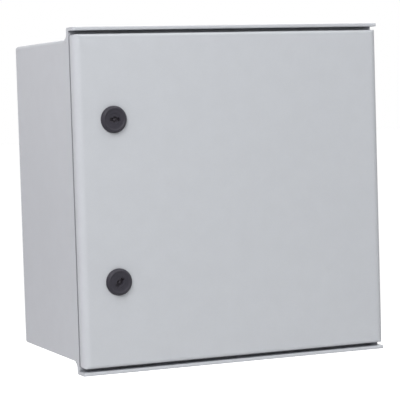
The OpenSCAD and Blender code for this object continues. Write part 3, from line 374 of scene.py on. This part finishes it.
class CabinetSizes(bpy.types.PropertyGroup):
    """Sizes of the door's gasket and locks."""
    gasket_w: length_prop("Gasket width", "Width of the foamed gasket", 10.0)
    gasket_corner: length_prop("Gasket corner", "Corner radius of its middle line", 8.75)
    gasket_crown: length_prop("Gasket crown", "Rise of its middle over its edges", 2.2)
    lock_bevel_h: length_prop("Lock bevel height", "Height of a head's bevel", 3.6)
    lock_bevel_w: length_prop("Lock bevel width", "Width of a head's bevel", 3.2)
    lock_crest_w: length_prop("Lock crest width", "Width of the crest inside the bevel", 1.0)
    lock_dish: length_prop("Lock dish", "Depth of the dished face under the crest", 1.0)
    lock_dish_w: length_prop("Lock dish width", "Width of the slope from crest to face", 2.2)
    lock_round: length_prop("Lock rounding", "Rounding of the crest and of the dish", 0.7)
    bevel_round: length_prop("Bevel rounding", "Rounding from the bevel to the side", 1.0)
    foot_round: length_prop("Foot rounding", "Rounding at the foot and round the bore", 0.3)
    spindle_bore: length_prop("Spindle bore", "Radius of the bore for the key spindle", 9.0)
    shaft_bore: length_prop("Shaft bore", "Radius of the bore for the spindle's shaft", 6.0)
    spindle_floor: length_prop("Spindle floor", "Floor that carries the spindle", 7.0)
    barrel_r: length_prop("Barrel radius", "Outer radius of the threaded barrel", 14.0)
    barrel_flat: length_prop("Barrel flat", "From the axis to the barrel's flats", 12.5)
    thread_pitch: length_prop("Thread pitch", "Pitch of the thread on the barrels", 1.5)
    thread_depth: length_prop("Thread depth", "Depth of the thread on the barrels", 0.7)


class CabinetFittings(bpy.types.PropertyGroup):
    """Sizes and places of the small fittings on the equipment."""
    fit_gap: length_prop("Fit gap", "Room round a fitting in its window or mouth", 0.2)
    ear_w: length_prop("Ear width", "Width of the controller's fixing ears", 12.0)
    window_depth: length_prop("Window depth", "Depth of the windows for lamps and keys", 1.5)
    lens_r: length_prop("Lens radius", "Radius of an indicator lens", 1.95)
    lens_crown: length_prop("Lens crown", "How far a lens stands over its unit", 0.9)
    lens_edge: length_prop("Lens edge", "Rounding of a lens", 1.4)
    lamp_in: length_prop("Lamp inset", "First lamp from the controller's side", 20.0)
    lamp_top: length_prop("Lamp drop", "Lamps below the controller's top", 12.0)
    display_w: length_prop("Display width", "Width of the display window", 54.0)
    display_h: length_prop("Display height", "Height of the display window", 26.0)
    display_z: length_prop("Display place", "Height of the display's middle", 5.0)
    display_sink: length_prop("Display recess", "Depth of the display's recess", 1.0)
    display_t: length_prop("Display thickness", "Thickness of the display's window", 1.3)
    display_corner: length_prop("Display corner", "Corner radius of the window", 1.0)
    key_space: length_prop("Key space", "From the display to the first key's middle", 18.0)
    key_pitch: length_prop("Key pitch", "Distance between keys", 16.0)
    key_r: length_prop("Key radius", "Radius of a key", 4.7)
    key_rise: length_prop("Key height", "How far a key stands over its unit", 1.6)
    driver_w: length_prop("Driver width", "Width of one lamp driver", 25.0)
    driver_gap: length_prop("Driver gap", "Gap between lamp drivers", 1.0)
    fuse_h: length_prop("Fuse height", "How far a fuse cap stands over its driver", 6.0)
    driver_lamp_top: length_prop("Driver lamp drop", "First lamp below the top", 30.0)
    driver_lamp_pitch: length_prop("Driver lamp pitch", "Distance between lamps", 9.0)
    ready_in: length_prop("Ready lamp inset", "Lamp from the power supply's side", 10.0)
    ready_top: length_prop("Ready lamp drop", "Lamp below the power supply's top", 24.0)
    mouth_wall: length_prop("Mouth wall", "Wall on each side of a plug's mouth", 4.0)
    mouth_low: length_prop("Mouth place", "Mouths above the lower end of their unit", 6.0)
    mouth_h: length_prop("Mouth height", "Height of the controller's mouths", 14.0)
    socket_h: length_prop("Socket height", "Height of the drivers' mouths", 20.0)
    mouth_depth: length_prop("Mouth depth", "Depth of a mouth", 9.0)
    plug_reach: length_prop("Plug reach", "How far a plug stands out of its mouth", 5.0)
    plug_edge: length_prop("Plug edge", "Rounding of a plug", 0.6)
    plug_pitch: length_prop("Plug pitch", "Distance between a plug's screws", 5.0)
    plug_screw_r: length_prop("Plug screw radius", "Radius of a plug's screws", 1.9)
    plug_screw_h: length_prop("Plug screw height", "Height of a plug's screws", 0.5)
    plug_screw_up: length_prop("Plug screw place", "Screws above a plug's middle", 2.2)
    socket_pitch: length_prop("Driver plug pitch", "Distance between its screws", 5.4)
    socket_screw_up: length_prop("Driver screw place", "Screws above its middle", 4.0)
    terminal_pitch: length_prop("Terminal pitch", "Width of one terminal", 6.2)
    terminal_gap: length_prop("Terminal gap", "Gap between terminals", 0.2)
    terminal_screw_r: length_prop("Terminal screw radius", "Radius of its screw", 1.7)
    terminal_screw_h: length_prop("Terminal screw height", "Height of its screw", 1.0)
    terminal_screw_sink: length_prop("Terminal screw depth", "Screw's foot below its face", 4.0)
    module_w: length_prop("Module width", "Width of one modular device", 17.6)
    module_nose: length_prop("Module nose", "How far a device's nose stands out", 18.0)
    module_nose_h: length_prop("Module nose height", "Height of a device's nose", 45.0)
    clamp_r: length_prop("Clamp screw radius", "Radius of the devices' screws", 2.45)
    clamp_h: length_prop("Clamp screw height", "Height of the devices' screws", 1.4)
    clamp_sink: length_prop("Clamp screw depth", "Screw's foot below its device's face", 5.0)
    supply_ledge: length_prop("Supply ledge", "How far the terminals stand back", 14.0)
    supply_clamp_in: length_prop("Supply clamp inset", "Screws from the supply's end", 8.0)
    supply_clamp_sink: length_prop("Supply clamp depth", "Screw's foot below the ledge", 4.0)
    marker_w: length_prop("Marker width", "Width of a terminal's marker", 5.2)
    marker_h: length_prop("Marker height", "Height of a terminal's marker", 8.0)
    marker_t: length_prop("Marker thickness", "Thickness of a terminal's marker", 0.8)
    sight_r: length_prop("Sight radius", "Radius of a sight window", 2.9)
    sight_up: length_prop("Sight place", "Windows above the arrester's middle", 10.0)
    sight_sink: length_prop("Sight depth", "Depth of a sight window", 2.0)
    sight_t: length_prop("Sight thickness", "Thickness of a sight window", 1.2)


class CabinetStage(bpy.types.PropertyGroup):
    """Camera, lamps and surroundings."""
    lens: bpy.props.FloatProperty(name="Lens", description="Focal length for a 36 mm sensor",
                                  default=160.89, unit="CAMERA", min=1.0)
    camera_place: place_prop("Camera", "Place of the camera", (-1.12539, -2.72254, 0.14872))
    camera_aim: place_prop("Aim", "Point in the picture's middle", (-0.05827, -0.281, -0.00546))
    camera_roll: bpy.props.FloatProperty(name="Roll", description="Turn about the view",
                                         default=math.radians(-1.723), unit="ROTATION",
                                         subtype="ANGLE")
    lamp_size: length_prop("Lamp size", "Side of each soft box", 1600.0)
    lamp_aim: place_prop("Lamp aim", "Point that the soft boxes face", (0.0, -0.2, 0.0))
    key_place: place_prop("Key place", "Soft box at the front left", (-1.7, -2.1, 1.85))
    key_power: power_prop("Key power", "Power of the front soft box", 59.0)
    top_place: place_prop("Top place", "Soft box above", (0.6, -1.2, 2.6))
    top_power: power_prop("Top power", "Power of the upper soft box", 24.0)
    fill_place: place_prop("Fill place", "Weak warm soft box at the left", (-2.6, 0.2, -0.1))
    fill_power: power_prop("Fill power", "Power of the left soft box", 2.6)
    fill_colour: colour_prop("Fill colour", "Tint of the left soft box", "#FFCEF9")
    back_place: place_prop("Back place", "Soft box behind the cabinet", (1.2, 2.6, 1.6))
    back_power: power_prop("Back power", "Power of the soft box behind", 26.0)
    daylight: factor_prop("Surroundings", "Strength of the light from the left", 0.435)
    daylight_right: factor_prop("Right surroundings", "The same from the right", 0.26)
    paper_glow: factor_prop("Paper glow", "Lifts the floor to white for the camera", 0.66)
    floor_drop: length_prop("Floor drop", "Distance of the floor under the cabinet", 420.0)
    floor_half: length_prop("Floor reach", "Half the side of the floor", 30000.0)


# Surfaces

def grid_faces(rows, cols, wrap_rows=False):
    """Corner numbers of the quads of a grid that closes round its columns, and round its rows if
    asked."""
    used_rows = np.arange(rows if wrap_rows else rows - 1)
    i, j = np.meshgrid(used_rows, np.arange(cols), indexing="ij")
    i2, j2 = (i + 1) % rows, (j + 1) % cols
    quads = [i * cols + j, i * cols + j2, i2 * cols + j2, i2 * cols + j]
    return np.stack(quads, axis=-1).reshape(-1, 4)


def corner_angles(per_corner):
    """Angles of the outline normals of a rounded rectangle: four quarter turns in a row."""
    quarter = np.linspace(0.0, math.pi / 2, per_corner)
    return (np.arange(4)[:, None] * math.pi / 2 + quarter).ravel()


def rounded_outline(half_w, half_h, radius, per_corner=6):
    """Rounded rectangles, one for each row: corner centre plus radius times (cos a, sin a), with a
    in four quarters."""
    sizes = [np.asarray(v, float) for v in (half_w, half_h, radius)]
    half_w, half_h, radius = np.broadcast_arrays(*sizes)
    radius = np.minimum(radius, np.minimum(half_w, half_h))
    angle = corner_angles(per_corner)
    sign_x = np.repeat([1.0, -1.0, -1.0, 1.0], per_corner)
    sign_z = np.repeat([1.0, 1.0, -1.0, -1.0], per_corner)
    x = (half_w - radius)[:, None] * sign_x + radius[:, None] * np.cos(angle)
    z = (half_h - radius)[:, None] * sign_z + radius[:, None] * np.sin(angle)
    return np.stack([x, z], axis=-1)


def pad(half_w, half_h, corner, height, edge, per_corner=6, steps=4):
    """Cushion-edged block that stands on y = 0 and faces -Y: rounded outlines that shrink by
    edge (1 - cos a) while they rise by edge sin a, closed at the middle of both ends."""
    a = np.linspace(0.0, math.pi / 2, steps)
    inset = np.concatenate([[0.0], edge * (1 - np.cos(a))])
    rise = np.concatenate([[0.0], height - edge + edge * np.sin(a)])
    outline = rounded_outline(half_w - inset, half_h - inset, np.maximum(corner - inset, TINY),
                              per_corner)
    depth = np.broadcast_to(-rise[:, None], outline.shape[:2])
    points = np.stack([outline[..., 0], depth, outline[..., 1]], axis=-1)
    low, high = np.zeros_like(points[:1]), np.zeros_like(points[:1])
    high[..., 1] = -height
    points = np.concatenate([low, points, high])
    return points.reshape(-1, 3), grid_faces(*points.shape[:2])


def stud(radius, height, edge, per_corner=6, steps=4):
    """Round pad: its corner radius is as large as its half sides."""
    return pad(radius, radius, radius, height, edge, per_corner, steps)


def half_disc(radius, slot, height, steps=10):
    """One land of a slotted screw head: the arc x = r cos a, z = r sin a where |z| is over half
    the slot, carried up by height and drawn in to its middle."""
    shoulder, crown = 0.85, 0.93
    start = math.asin(slot / 2 / radius)
    angle = np.linspace(start, math.pi - start, steps)
    arc = np.stack([radius * np.cos(angle), np.zeros(steps), radius * np.sin(angle)], axis=-1)
    middle = np.array([0.0, 0.0, (slot / 2 + radius) / 2])
    rise = np.array([0.0, shoulder, 1.0, 1.0])[:, None, None] * np.array([0.0, -height, 0.0])
    share = np.array([1.0, 1.0, crown, 0.0])[:, None, None]
    foot = np.broadcast_to(middle, (1, steps, 3))
    points = np.concatenate([foot, middle + (arc - middle) * share + rise])
    return points.reshape(-1, 3), grid_faces(*points.shape[:2])


def joined(*shapes):
    """One set of points and faces from several."""
    counts = np.cumsum([0] + [len(points) for points, _ in shapes])
    return (np.concatenate([points for points, _ in shapes]),
            np.concatenate([faces + start for (_, faces), start in zip(shapes, counts)]))


def slotted_screw(radius, height, slot_share=0.32, floor_share=0.5, edge_share=0.05):
    """Screw head: a flat disc with two half-round lands on it, which leave the slot between."""
    land, faces = half_disc(radius, slot_share * radius, height)
    disc = stud(radius, floor_share * height, edge_share * height, steps=2)
    return joined(disc, (land, faces), (land * [-1.0, 1.0, -1.0], faces))


def copies(shape, places):
    """The same shape at each place, as one mesh."""
    points, faces = shape
    places = np.asarray(places, float).reshape(-1, 1, 3)
    starts = np.arange(len(places))[:, None, None] * len(points)
    return (points[None] + places).reshape(-1, 3), (faces[None] + starts).reshape(-1, 4)


def row(first, pitch, count, depth, height):
    """Places in a row along X at one depth and height."""
    x = first + pitch * np.arange(count)
    return np.stack([x, np.full(count, -depth), np.full(count, height)], axis=-1)


def spread(places, pitch, count, out, up):
    """Places in a row of count about each given place, moved out to the front and up."""
    shift = row(-pitch * (count - 1) / 2, pitch, count, out, up)
    return (places[:, None] + shift).reshape(-1, 3)


def fillet(before, at, after, size, steps=6):
    """Corner of a section rounded by a quadratic curve that starts and ends size away from it, or
    halfway along a shorter side."""
    before, at, after = (np.array(p, float) for p in (before, at, after))
    start = at + (before - at) * min(0.5, size / np.linalg.norm(before - at))
    end = at + (after - at) * min(0.5, size / np.linalg.norm(after - at))
    t = np.linspace(0.0, 1.0, steps)[:, None]
    return (1 - t) ** 2 * start + 2 * t * (1 - t) * at + t ** 2 * end


def piece(name, shape, material, body="cabinet", stands_for=()):
    """Puts a shape in a mesh of its own, closes its seams and poles, and lets it ride on a body."""
    points, faces = shape
    mesh = bpy.data.meshes.new(name)
    mesh.from_pydata(points, [], faces)
    shell = bmesh.new()
    shell.from_mesh(mesh)
    bmesh.ops.remove_doubles(shell, verts=shell.verts, dist=WELD)
    bmesh.ops.recalc_face_normals(shell, faces=shell.faces)
    shell.to_mesh(mesh)
    shell.free()
    mesh.shade_smooth()
    mesh.set_sharp_from_angle(angle=SHARP_ANGLE)
    mesh.materials.append(material)
    made = bpy.data.objects.new(name, mesh)
    bpy.context.scene.collection.objects.link(made)
    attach(made, body)
    if stands_for:
        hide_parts(*stands_for)


def corners(node):
    """Lowest and highest corner of a node at rest, as arrays."""
    low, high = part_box(node)
    return np.array(low), np.array(high)


def finish_of(node):
    """Material that a node was given."""
    return frame["nodes"][node].data.materials[0]


# Operators

class CABINET_OT_stage(bpy.types.Operator):
    """Set the camera, the pale floor, the soft lamps and the white surroundings"""
    bl_idname = "cabinet.stage"
    bl_label = "Stage"

    def execute(self, context):
        scene, stage = context.scene, context.scene.cabinet_stage
        self.camera(scene, stage)
        self.floor(scene, stage, scene.cabinet_colours)
        self.lamps(scene, stage)
        self.surroundings(scene, stage)
        scene.view_settings.view_transform = "Standard"
        return {"FINISHED"}

    @staticmethod
    def camera(scene, stage):
        """Camera at the photograph's viewing angle, aimed at the door and rolled a little."""
        data = bpy.data.cameras.new("photo_camera")
        data.sensor_width = SENSOR_MM
        data.lens = stage.lens
        camera = bpy.data.objects.new("photo_camera", data)
        view = Vector(stage.camera_aim) - Vector(stage.camera_place)
        roll = Quaternion((0.0, 0.0, 1.0), stage.camera_roll)
        camera.location = stage.camera_place
        camera.rotation_mode = "QUATERNION"
        camera.rotation_quaternion = view.to_track_quat("-Z", "Y") @ roll
        scene.collection.objects.link(camera)
        scene.camera = camera

    @staticmethod
    def floor(scene, stage, colours):
        """Plain pale floor well under the wall-hung cabinet."""
        half = stage.floor_half
        level = CAD_BOX[0][2] - stage.floor_drop
        mesh = bpy.data.meshes.new("floor")
        mesh.from_pydata([(x * half, y * half, level)
                          for x, y in ((-1, -1), (1, -1), (1, 1), (-1, 1))], [], [(0, 1, 2, 3)])
        mesh.materials.append(studio_paper("Studio paper, matt white", colours.paper_light,
                                           colours.paper_dark, stage.paper_glow))
        made = bpy.data.objects.new("floor", mesh)
        scene.collection.objects.link(made)

    @staticmethod
    def lamps(scene, stage):
        """Soft boxes: a strong one at the front left and weaker ones round the cabinet."""
        for name, place, power, tint in (
            ("key_softbox", stage.key_place, stage.key_power, WHITE),
            ("top_softbox", stage.top_place, stage.top_power, WHITE),
            ("left_softbox", stage.fill_place, stage.fill_power, stage.fill_colour),
            ("back_softbox", stage.back_place, stage.back_power, WHITE),
        ):
            data = bpy.data.lights.new(name, "AREA")
            data.shape = "SQUARE"
            data.size = stage.lamp_size
            data.energy = power
            data.color = tint[:3]
            lamp = bpy.data.objects.new(name, data)
            lamp.location = place
            beam = Vector(stage.lamp_aim) - Vector(place)
            lamp.rotation_euler = beam.to_track_quat("-Z", "Y").to_euler()
            scene.collection.objects.link(lamp)

    @staticmethod
    def surroundings(scene, stage):
        """White surroundings for the eye and for reflections, and for the rest an even light that
        falls off from left to right."""
        world = bpy.data.worlds.new("studio")
        world.use_nodes = True
        tree = world.node_tree
        tree.nodes.clear()
        rays = add(tree, "ShaderNodeLightPath").outputs
        mirrored = add(tree, "ShaderNodeMath", {"operation": "MAXIMUM"}, i0=rays["Is Glossy Ray"],
                       i1=rays["Is Transmission Ray"])
        seen = add(tree, "ShaderNodeMath", {"operation": "MAXIMUM"}, i0=rays["Is Camera Ray"],
                   i1=mirrored.outputs[0])
        place = add(tree, "ShaderNodeTexCoord").outputs["Generated"]
        towards = add(tree, "ShaderNodeSeparateXYZ", Vector=place)
        fall = add(tree, "ShaderNodeMapRange", Value=towards.outputs["X"], From_Min=-1.0,
                   From_Max=1.0, To_Min=stage.daylight, To_Max=stage.daylight_right)
        even = add(tree, "ShaderNodeBackground", Color=WHITE, Strength=fall.outputs["Result"])
        white = add(tree, "ShaderNodeBackground", Color=WHITE, Strength=1.0)
        both = add(tree, "ShaderNodeMixShader", i0=seen.outputs[0], i1=even.outputs[0],
                   i2=white.outputs[0])
        add(tree, "ShaderNodeOutputWorld", Surface=both.outputs[0])
        scene.world = world


class CABINET_OT_finishes(bpy.types.Operator):
    """Give every solid the finish of its material slot, and painted light to the key recesses"""
    bl_idname = "cabinet.finishes"
    bl_label = "Finishes"

    def execute(self, context):
        made = finishes_by_slot(context.scene.cabinet_colours)
        for part in frame["record"]["subparts"]:
            solid = frame["nodes"][part["node"]]
            solid.data.materials.clear()
            solid.data.materials.append(made[part["material_slot"]])
        for side in ("upper", "lower"):
            frame["nodes"][f"lock_spindle_{side}"].data.materials[0] = made["key_recess"]
        return {"FINISHED"}


class CABINET_OT_gasket(bpy.types.Operator):
    """Lay the foamed gasket round the inside of the door"""
    bl_idname = "cabinet.gasket"
    bl_label = "Door gasket"

    def execute(self, context):
        sizes = context.scene.cabinet_sizes
        low, high = corners("door_gasket")
        half = (high - low) / 2 - sizes.gasket_w / 2
        points, faces = self.bead(half[0], half[2], high[1] - low[1], sizes)
        piece("gasket_bead", (points + [0.0, low[1], 0.0], faces), finish_of("door_gasket"),
              "door", ("door_gasket",))
        return {"FINISHED"}

    @staticmethod
    def bead(half_w, half_h, height, sizes, per_corner=14, across=13):
        """Bead carried along a rounded rectangle: t runs across it from -1 to 1, and its free side
        rises by height - crown t^4."""
        path = rounded_outline([half_w], [half_h], [sizes.gasket_corner], per_corner)[0]
        angle = corner_angles(per_corner)
        t = np.linspace(-1.0, 1.0, across)
        rise = np.concatenate([height - sizes.gasket_crown * t ** 4, [0.0, 0.0]])
        out = np.concatenate([t, [1.0, -1.0]])[:, None] * sizes.gasket_w / 2
        x = path[:, 0] + out * np.cos(angle)
        z = path[:, 1] + out * np.sin(angle)
        points = np.stack([x, np.broadcast_to(rise[:, None], x.shape), z], axis=-1)
        return points.reshape(-1, 3), grid_faces(*points.shape[:2], wrap_rows=True)


class CABINET_OT_locks(bpy.types.Operator):
    """Turn the two lock housings, with rounded heads and threaded barrels"""
    bl_idname = "cabinet.locks"
    bl_label = "Lock housings"

    def execute(self, context):
        face = corners("door_panel")[0][1]
        for side in ("upper", "lower"):
            node = f"lock_housing_{side}"
            low, high = corners(node)
            points, faces = self.housing((high[0] - low[0]) / 2, face - low[1], high[1] - face,
                                         context.scene.cabinet_sizes)
            centre = (low + high) / 2
            piece(f"lock_shell_{side}", (points + [centre[0], face, centre[2]], faces),
                  finish_of(node), "door", (node,))
        return {"FINISHED"}

    @staticmethod
    def section(head_r, head_h, barrel_len, sizes):
        """Head and bores as points (r, h) round the lock axis, from the barrel's root over the
        head into the bore and down to the barrel's end, with each corner rounded."""
        crest = head_r - sizes.lock_bevel_w
        dish = crest - sizes.lock_crest_w
        face_h = head_h - sizes.lock_dish
        seat = sizes.spindle_floor - barrel_len
        rounded = [
            ((head_r, 0.0), sizes.foot_round),
            ((head_r, head_h - sizes.lock_bevel_h), sizes.bevel_round),
            ((crest, head_h), sizes.lock_round),
            ((dish, head_h), sizes.lock_round),
            ((dish - sizes.lock_dish_w, face_h), sizes.lock_round),
            ((sizes.spindle_bore, face_h), sizes.foot_round),
        ]
        start, end = (sizes.barrel_r, 0.0), (sizes.spindle_bore, seat)
        path = [start] + [corner for corner, _ in rounded] + [end]
        bends = [fillet(*path[k:k + 3], size) for k, (_, size) in enumerate(rounded)]
        tail = [end, (sizes.shaft_bore, seat), (sizes.shaft_bore, -barrel_len)]
        return np.concatenate([[start], *bends, tail])

    @classmethod
    def housing(cls, head_r, head_h, barrel_len, sizes, turns=96, barrel_steps=149):
        """Section carried round the lock axis, with a barrel whose radius is the smaller of
        r - depth saw(h / pitch - a / turn), the thread, and flat / |sin a|, the two flats."""
        head = cls.section(head_r, head_h, barrel_len, sizes)
        angle = np.linspace(0.0, 2 * math.pi, turns, endpoint=False)
        barrel_h = np.linspace(-barrel_len, 0.0, barrel_steps, endpoint=False)[:, None]
        saw = np.abs(((barrel_h / sizes.thread_pitch - angle / (2 * math.pi)) % 1.0) * 2 - 1)
        flats = sizes.barrel_flat / np.maximum(np.abs(np.sin(angle)), TINY)
        barrel_r = np.minimum(sizes.barrel_r - sizes.thread_depth * saw, flats)
        radius = np.concatenate([np.broadcast_to(head[:, :1], (len(head), turns)), barrel_r])
        height = np.broadcast_to(np.concatenate([head[:, 1:], barrel_h]), radius.shape)
        points = np.stack([radius * np.cos(angle), -height, radius * np.sin(angle)], axis=-1)
        return points.reshape(-1, 3), grid_faces(*points.shape[:2], wrap_rows=True)


class CABINET_OT_unit_fittings(bpy.types.Operator):
    """Fit lamps, display, keys and plugs to the controller, lamp drivers and power supply"""
    bl_idname = "cabinet.unit_fittings"
    bl_label = "Unit fittings"

    def execute(self, context):
        fit, colours = context.scene.cabinet_fittings, context.scene.cabinet_colours
        low, high = corners("controller_unit")
        left, front = low[0] + fit.ear_w, -low[1]
        width = high[0] - fit.ear_w - left
        drivers_low, drivers_high = corners("lamp_drivers")
        pitch = fit.driver_w + fit.driver_gap
        count = round((drivers_high[0] - drivers_low[0] + fit.driver_gap) / pitch)
        driver_front = -drivers_low[1] - fit.fuse_h
        driver_x = drivers_low[0] + fit.driver_w / 2
        first_lamp = left + fit.lamp_in
        lamps = row(first_lamp, (width - 2 * fit.lamp_in) / (LAMPS - 1), LAMPS,
                    front - fit.window_depth, high[2] - fit.lamp_top)
        driver_lamp_z = drivers_high[2] - fit.driver_lamp_top
        rows = [row(driver_x, pitch, count, driver_front - fit.window_depth,
                    driver_lamp_z - fit.driver_lamp_pitch * k) for k in range(len(LAMP_TINTS))]
        self.lamps(fit, colours, lamps, rows)
        self.panel(fit, colours, first_lamp, front)
        mouth_pitch = width / MOUTHS
        mouths = row(left + mouth_pitch / 2, mouth_pitch, MOUTHS, front - fit.mouth_depth,
                     low[2] + fit.mouth_low + fit.mouth_h / 2)
        sockets = row(driver_x, pitch, count, driver_front - fit.mouth_depth,
                      drivers_low[2] + fit.mouth_low + fit.socket_h / 2)
        self.plugs(fit, colours, mouths, sockets, mouth_pitch)
        return {"FINISHED"}

    @staticmethod
    def lamps(fit, colours, lamps, rows):
        """Domed lenses in the controller, the drivers and the power supply, by tint."""
        low, high = corners("power_supply")
        ready = row(high[0] - fit.ready_in, 0.0, 1, -low[1] - fit.window_depth,
                    high[2] - fit.ready_top)
        lens = stud(fit.lens_r, fit.window_depth + fit.lens_crown, fit.lens_edge, per_corner=4,
                    steps=5)
        places = {tint: [lamps[k::len(LAMP_TINTS)], rows[k]] for k, tint in enumerate(LAMP_TINTS)}
        places["green"].append(ready)
        for tint, feet in places.items():
            piece(f"lamp_lenses_{tint}", copies(lens, np.concatenate(feet)),
                  acrylic_lens(f"Acrylic lens, {tint}", getattr(colours, tint)))

    @staticmethod
    def panel(fit, colours, left, front):
        """Display window and round keys beside it."""
        room = fit.fit_gap / 2
        screen = pad(fit.display_w / 2 - room, fit.display_h / 2 - room, fit.display_corner,
                     fit.display_t, fit.display_t - fit.display_sink)
        middle = row(left + fit.display_w / 2, 0.0, 1, front - fit.display_sink, fit.display_z)
        piece("display_window", copies(screen, middle),
              display_glass("Display under polycarbonate", colours.display, dot_mm=1.0))
        cap = stud(fit.key_r, fit.window_depth + fit.key_rise, fit.key_rise / 2)
        keys = row(left + fit.display_w + fit.key_space, fit.key_pitch, KEYS,
                   front - fit.window_depth, fit.display_z)
        piece("keypad_caps", copies(cap, keys),
              moulded_plastic("Silicone key", colours.keycap, grain_mm=0.6, rough=0.6))

    @staticmethod
    def plugs(fit, colours, mouths, sockets, mouth_pitch):
        """Pluggable terminals: a block in each mouth, with a slotted clamp screw over each wire."""
        reach = fit.plug_reach + fit.mouth_depth
        corner = fit.plug_edge + fit.fit_gap
        wall = fit.mouth_wall + fit.fit_gap
        wide, tall = (pad(w / 2 - wall, h / 2 - fit.fit_gap, corner, reach, fit.plug_edge,
                          per_corner=3, steps=3)
                      for w, h in ((mouth_pitch, fit.mouth_h), (fit.driver_w, fit.socket_h)))
        piece("plug_blocks", joined(copies(wide, mouths), copies(tall, sockets)),
              moulded_plastic("Polyamide, green", colours.plug, rough=0.45))
        screw = slotted_screw(fit.plug_screw_r, fit.plug_screw_h)
        heads = np.concatenate([
            spread(mouths, fit.plug_pitch, PLUG_SCREWS, reach, fit.plug_screw_up),
            spread(sockets, fit.socket_pitch, SOCKET_SCREWS, reach, fit.socket_screw_up)])
        piece("plug_screws", copies(screw, heads), finish_of("mounting_plate"))


class CABINET_OT_rail_fittings(bpy.types.Operator):
    """Fit clamp screws, blank markers and sight windows to the pieces on the rails"""
    bl_idname = "cabinet.rail_fittings"
    bl_label = "Rail fittings"

    def execute(self, context):
        fit, colours = context.scene.cabinet_fittings, context.scene.cabinet_colours
        low, high = corners("terminal_blocks")
        count = round((high[0] - low[0]) / fit.terminal_pitch)
        first = low[0] + (fit.terminal_pitch - fit.terminal_gap) / 2
        middle, quarter = (low[2] + high[2]) / 2, (high[2] - low[2]) / 4
        ends = np.concatenate([row(first, fit.terminal_pitch, count,
                                   -low[1] - fit.terminal_screw_sink, middle + side * quarter)
                               for side in (-1, 1)])
        small = copies(slotted_screw(fit.terminal_screw_r, fit.terminal_screw_h), ends)
        large = copies(slotted_screw(fit.clamp_r, fit.clamp_h), self.clamp_places(fit))
        piece("clamp_screws", joined(small, large), finish_of("mounting_plate"))
        tag = pad(fit.marker_w / 2, fit.marker_h / 2, fit.marker_t / 2, fit.marker_t,
                  fit.marker_t / 3, per_corner=3, steps=3)
        tags = row(first, fit.terminal_pitch, count, -low[1], middle)
        piece("terminal_markers", copies(tag, tags),
              moulded_plastic("Marker, white polycarbonate", colours.marker, rough=0.4))
        low, high = corners("surge_arrester")
        window = stud(fit.sight_r, fit.sight_t, fit.sight_t / 4, per_corner=5, steps=3)
        places = row(low[0] + fit.module_w / 2, fit.module_w, POLES, -low[1] - fit.sight_sink,
                     (low[2] + high[2]) / 2 + fit.sight_up)
        piece("sight_windows", copies(window, places),
              acrylic_lens("Acrylic window, green flag", colours.flag))
        return {"FINISHED"}

    @staticmethod
    def clamp_places(fit):
        """Feet of the clamp screws by the modular devices' noses and on the supply's ledges."""
        places = []
        for node in ("breaker_body", "surge_arrester"):
            low, high = corners(node)
            middle = (low[2] + high[2]) / 2
            off = (high[2] - low[2] + fit.module_nose_h) / 4
            places += [row(low[0] + fit.module_w / 2, fit.module_w, POLES,
                           -low[1] - fit.module_nose - fit.clamp_sink, middle + side * off)
                       for side in (-1, 1)]
        low, high = corners("power_supply")
        pitch = (high[0] - low[0]) / (SUPPLY_CLAMPS + 1)
        middle, off = (low[2] + high[2]) / 2, (high[2] - low[2]) / 2 - fit.supply_clamp_in
        places += [row(low[0] + pitch, pitch, SUPPLY_CLAMPS,
                       -low[1] - fit.supply_ledge - fit.supply_clamp_sink, middle + side * off)
                   for side in (-1, 1)]
        return np.concatenate(places)


class CABINET_PT_sidebar(bpy.types.Panel):
    """Sidebar with the cabinet's operators and values"""
    bl_label = "Cabinet"
    bl_idname = "CABINET_PT_sidebar"
    bl_space_type = "VIEW_3D"
    bl_region_type = "UI"
    bl_category = "Cabinet"

    def draw(self, context):
        for operator in OPERATORS:
            self.layout.operator(operator.bl_idname)
        for name in GROUPS:
            group = getattr(context.scene, name)
            for key in group.__annotations__:
                self.layout.prop(group, key)


OPERATORS = (CABINET_OT_stage, CABINET_OT_finishes, CABINET_OT_gasket, CABINET_OT_locks,
             CABINET_OT_unit_fittings, CABINET_OT_rail_fittings)
GROUPS = {"cabinet_colours": CabinetColours, "cabinet_sizes": CabinetSizes,
          "cabinet_fittings": CabinetFittings, "cabinet_stage": CabinetStage}
CLASSES = (*GROUPS.values(), *OPERATORS, CABINET_PT_sidebar)


def register():
    """Registers the classes and hangs the property groups on the scene."""
    for item in CLASSES:
        bpy.utils.register_class(item)
    for name, group in GROUPS.items():
        setattr(bpy.types.Scene, name, bpy.props.PointerProperty(type=group))


def unregister():
    """Takes the property groups off the scene and unregisters the classes."""
    for name in GROUPS:
        delattr(bpy.types.Scene, name)
    for item in reversed(CLASSES):
        bpy.utils.unregister_class(item)


def main():
    """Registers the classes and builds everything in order."""
    register()
    bpy.ops.cabinet.stage()
    bpy.ops.cabinet.finishes()
    bpy.ops.cabinet.gasket()
    bpy.ops.cabinet.locks()
    bpy.ops.cabinet.unit_fittings()
    bpy.ops.cabinet.rail_fittings()


if __name__ == "__main__":
    main()
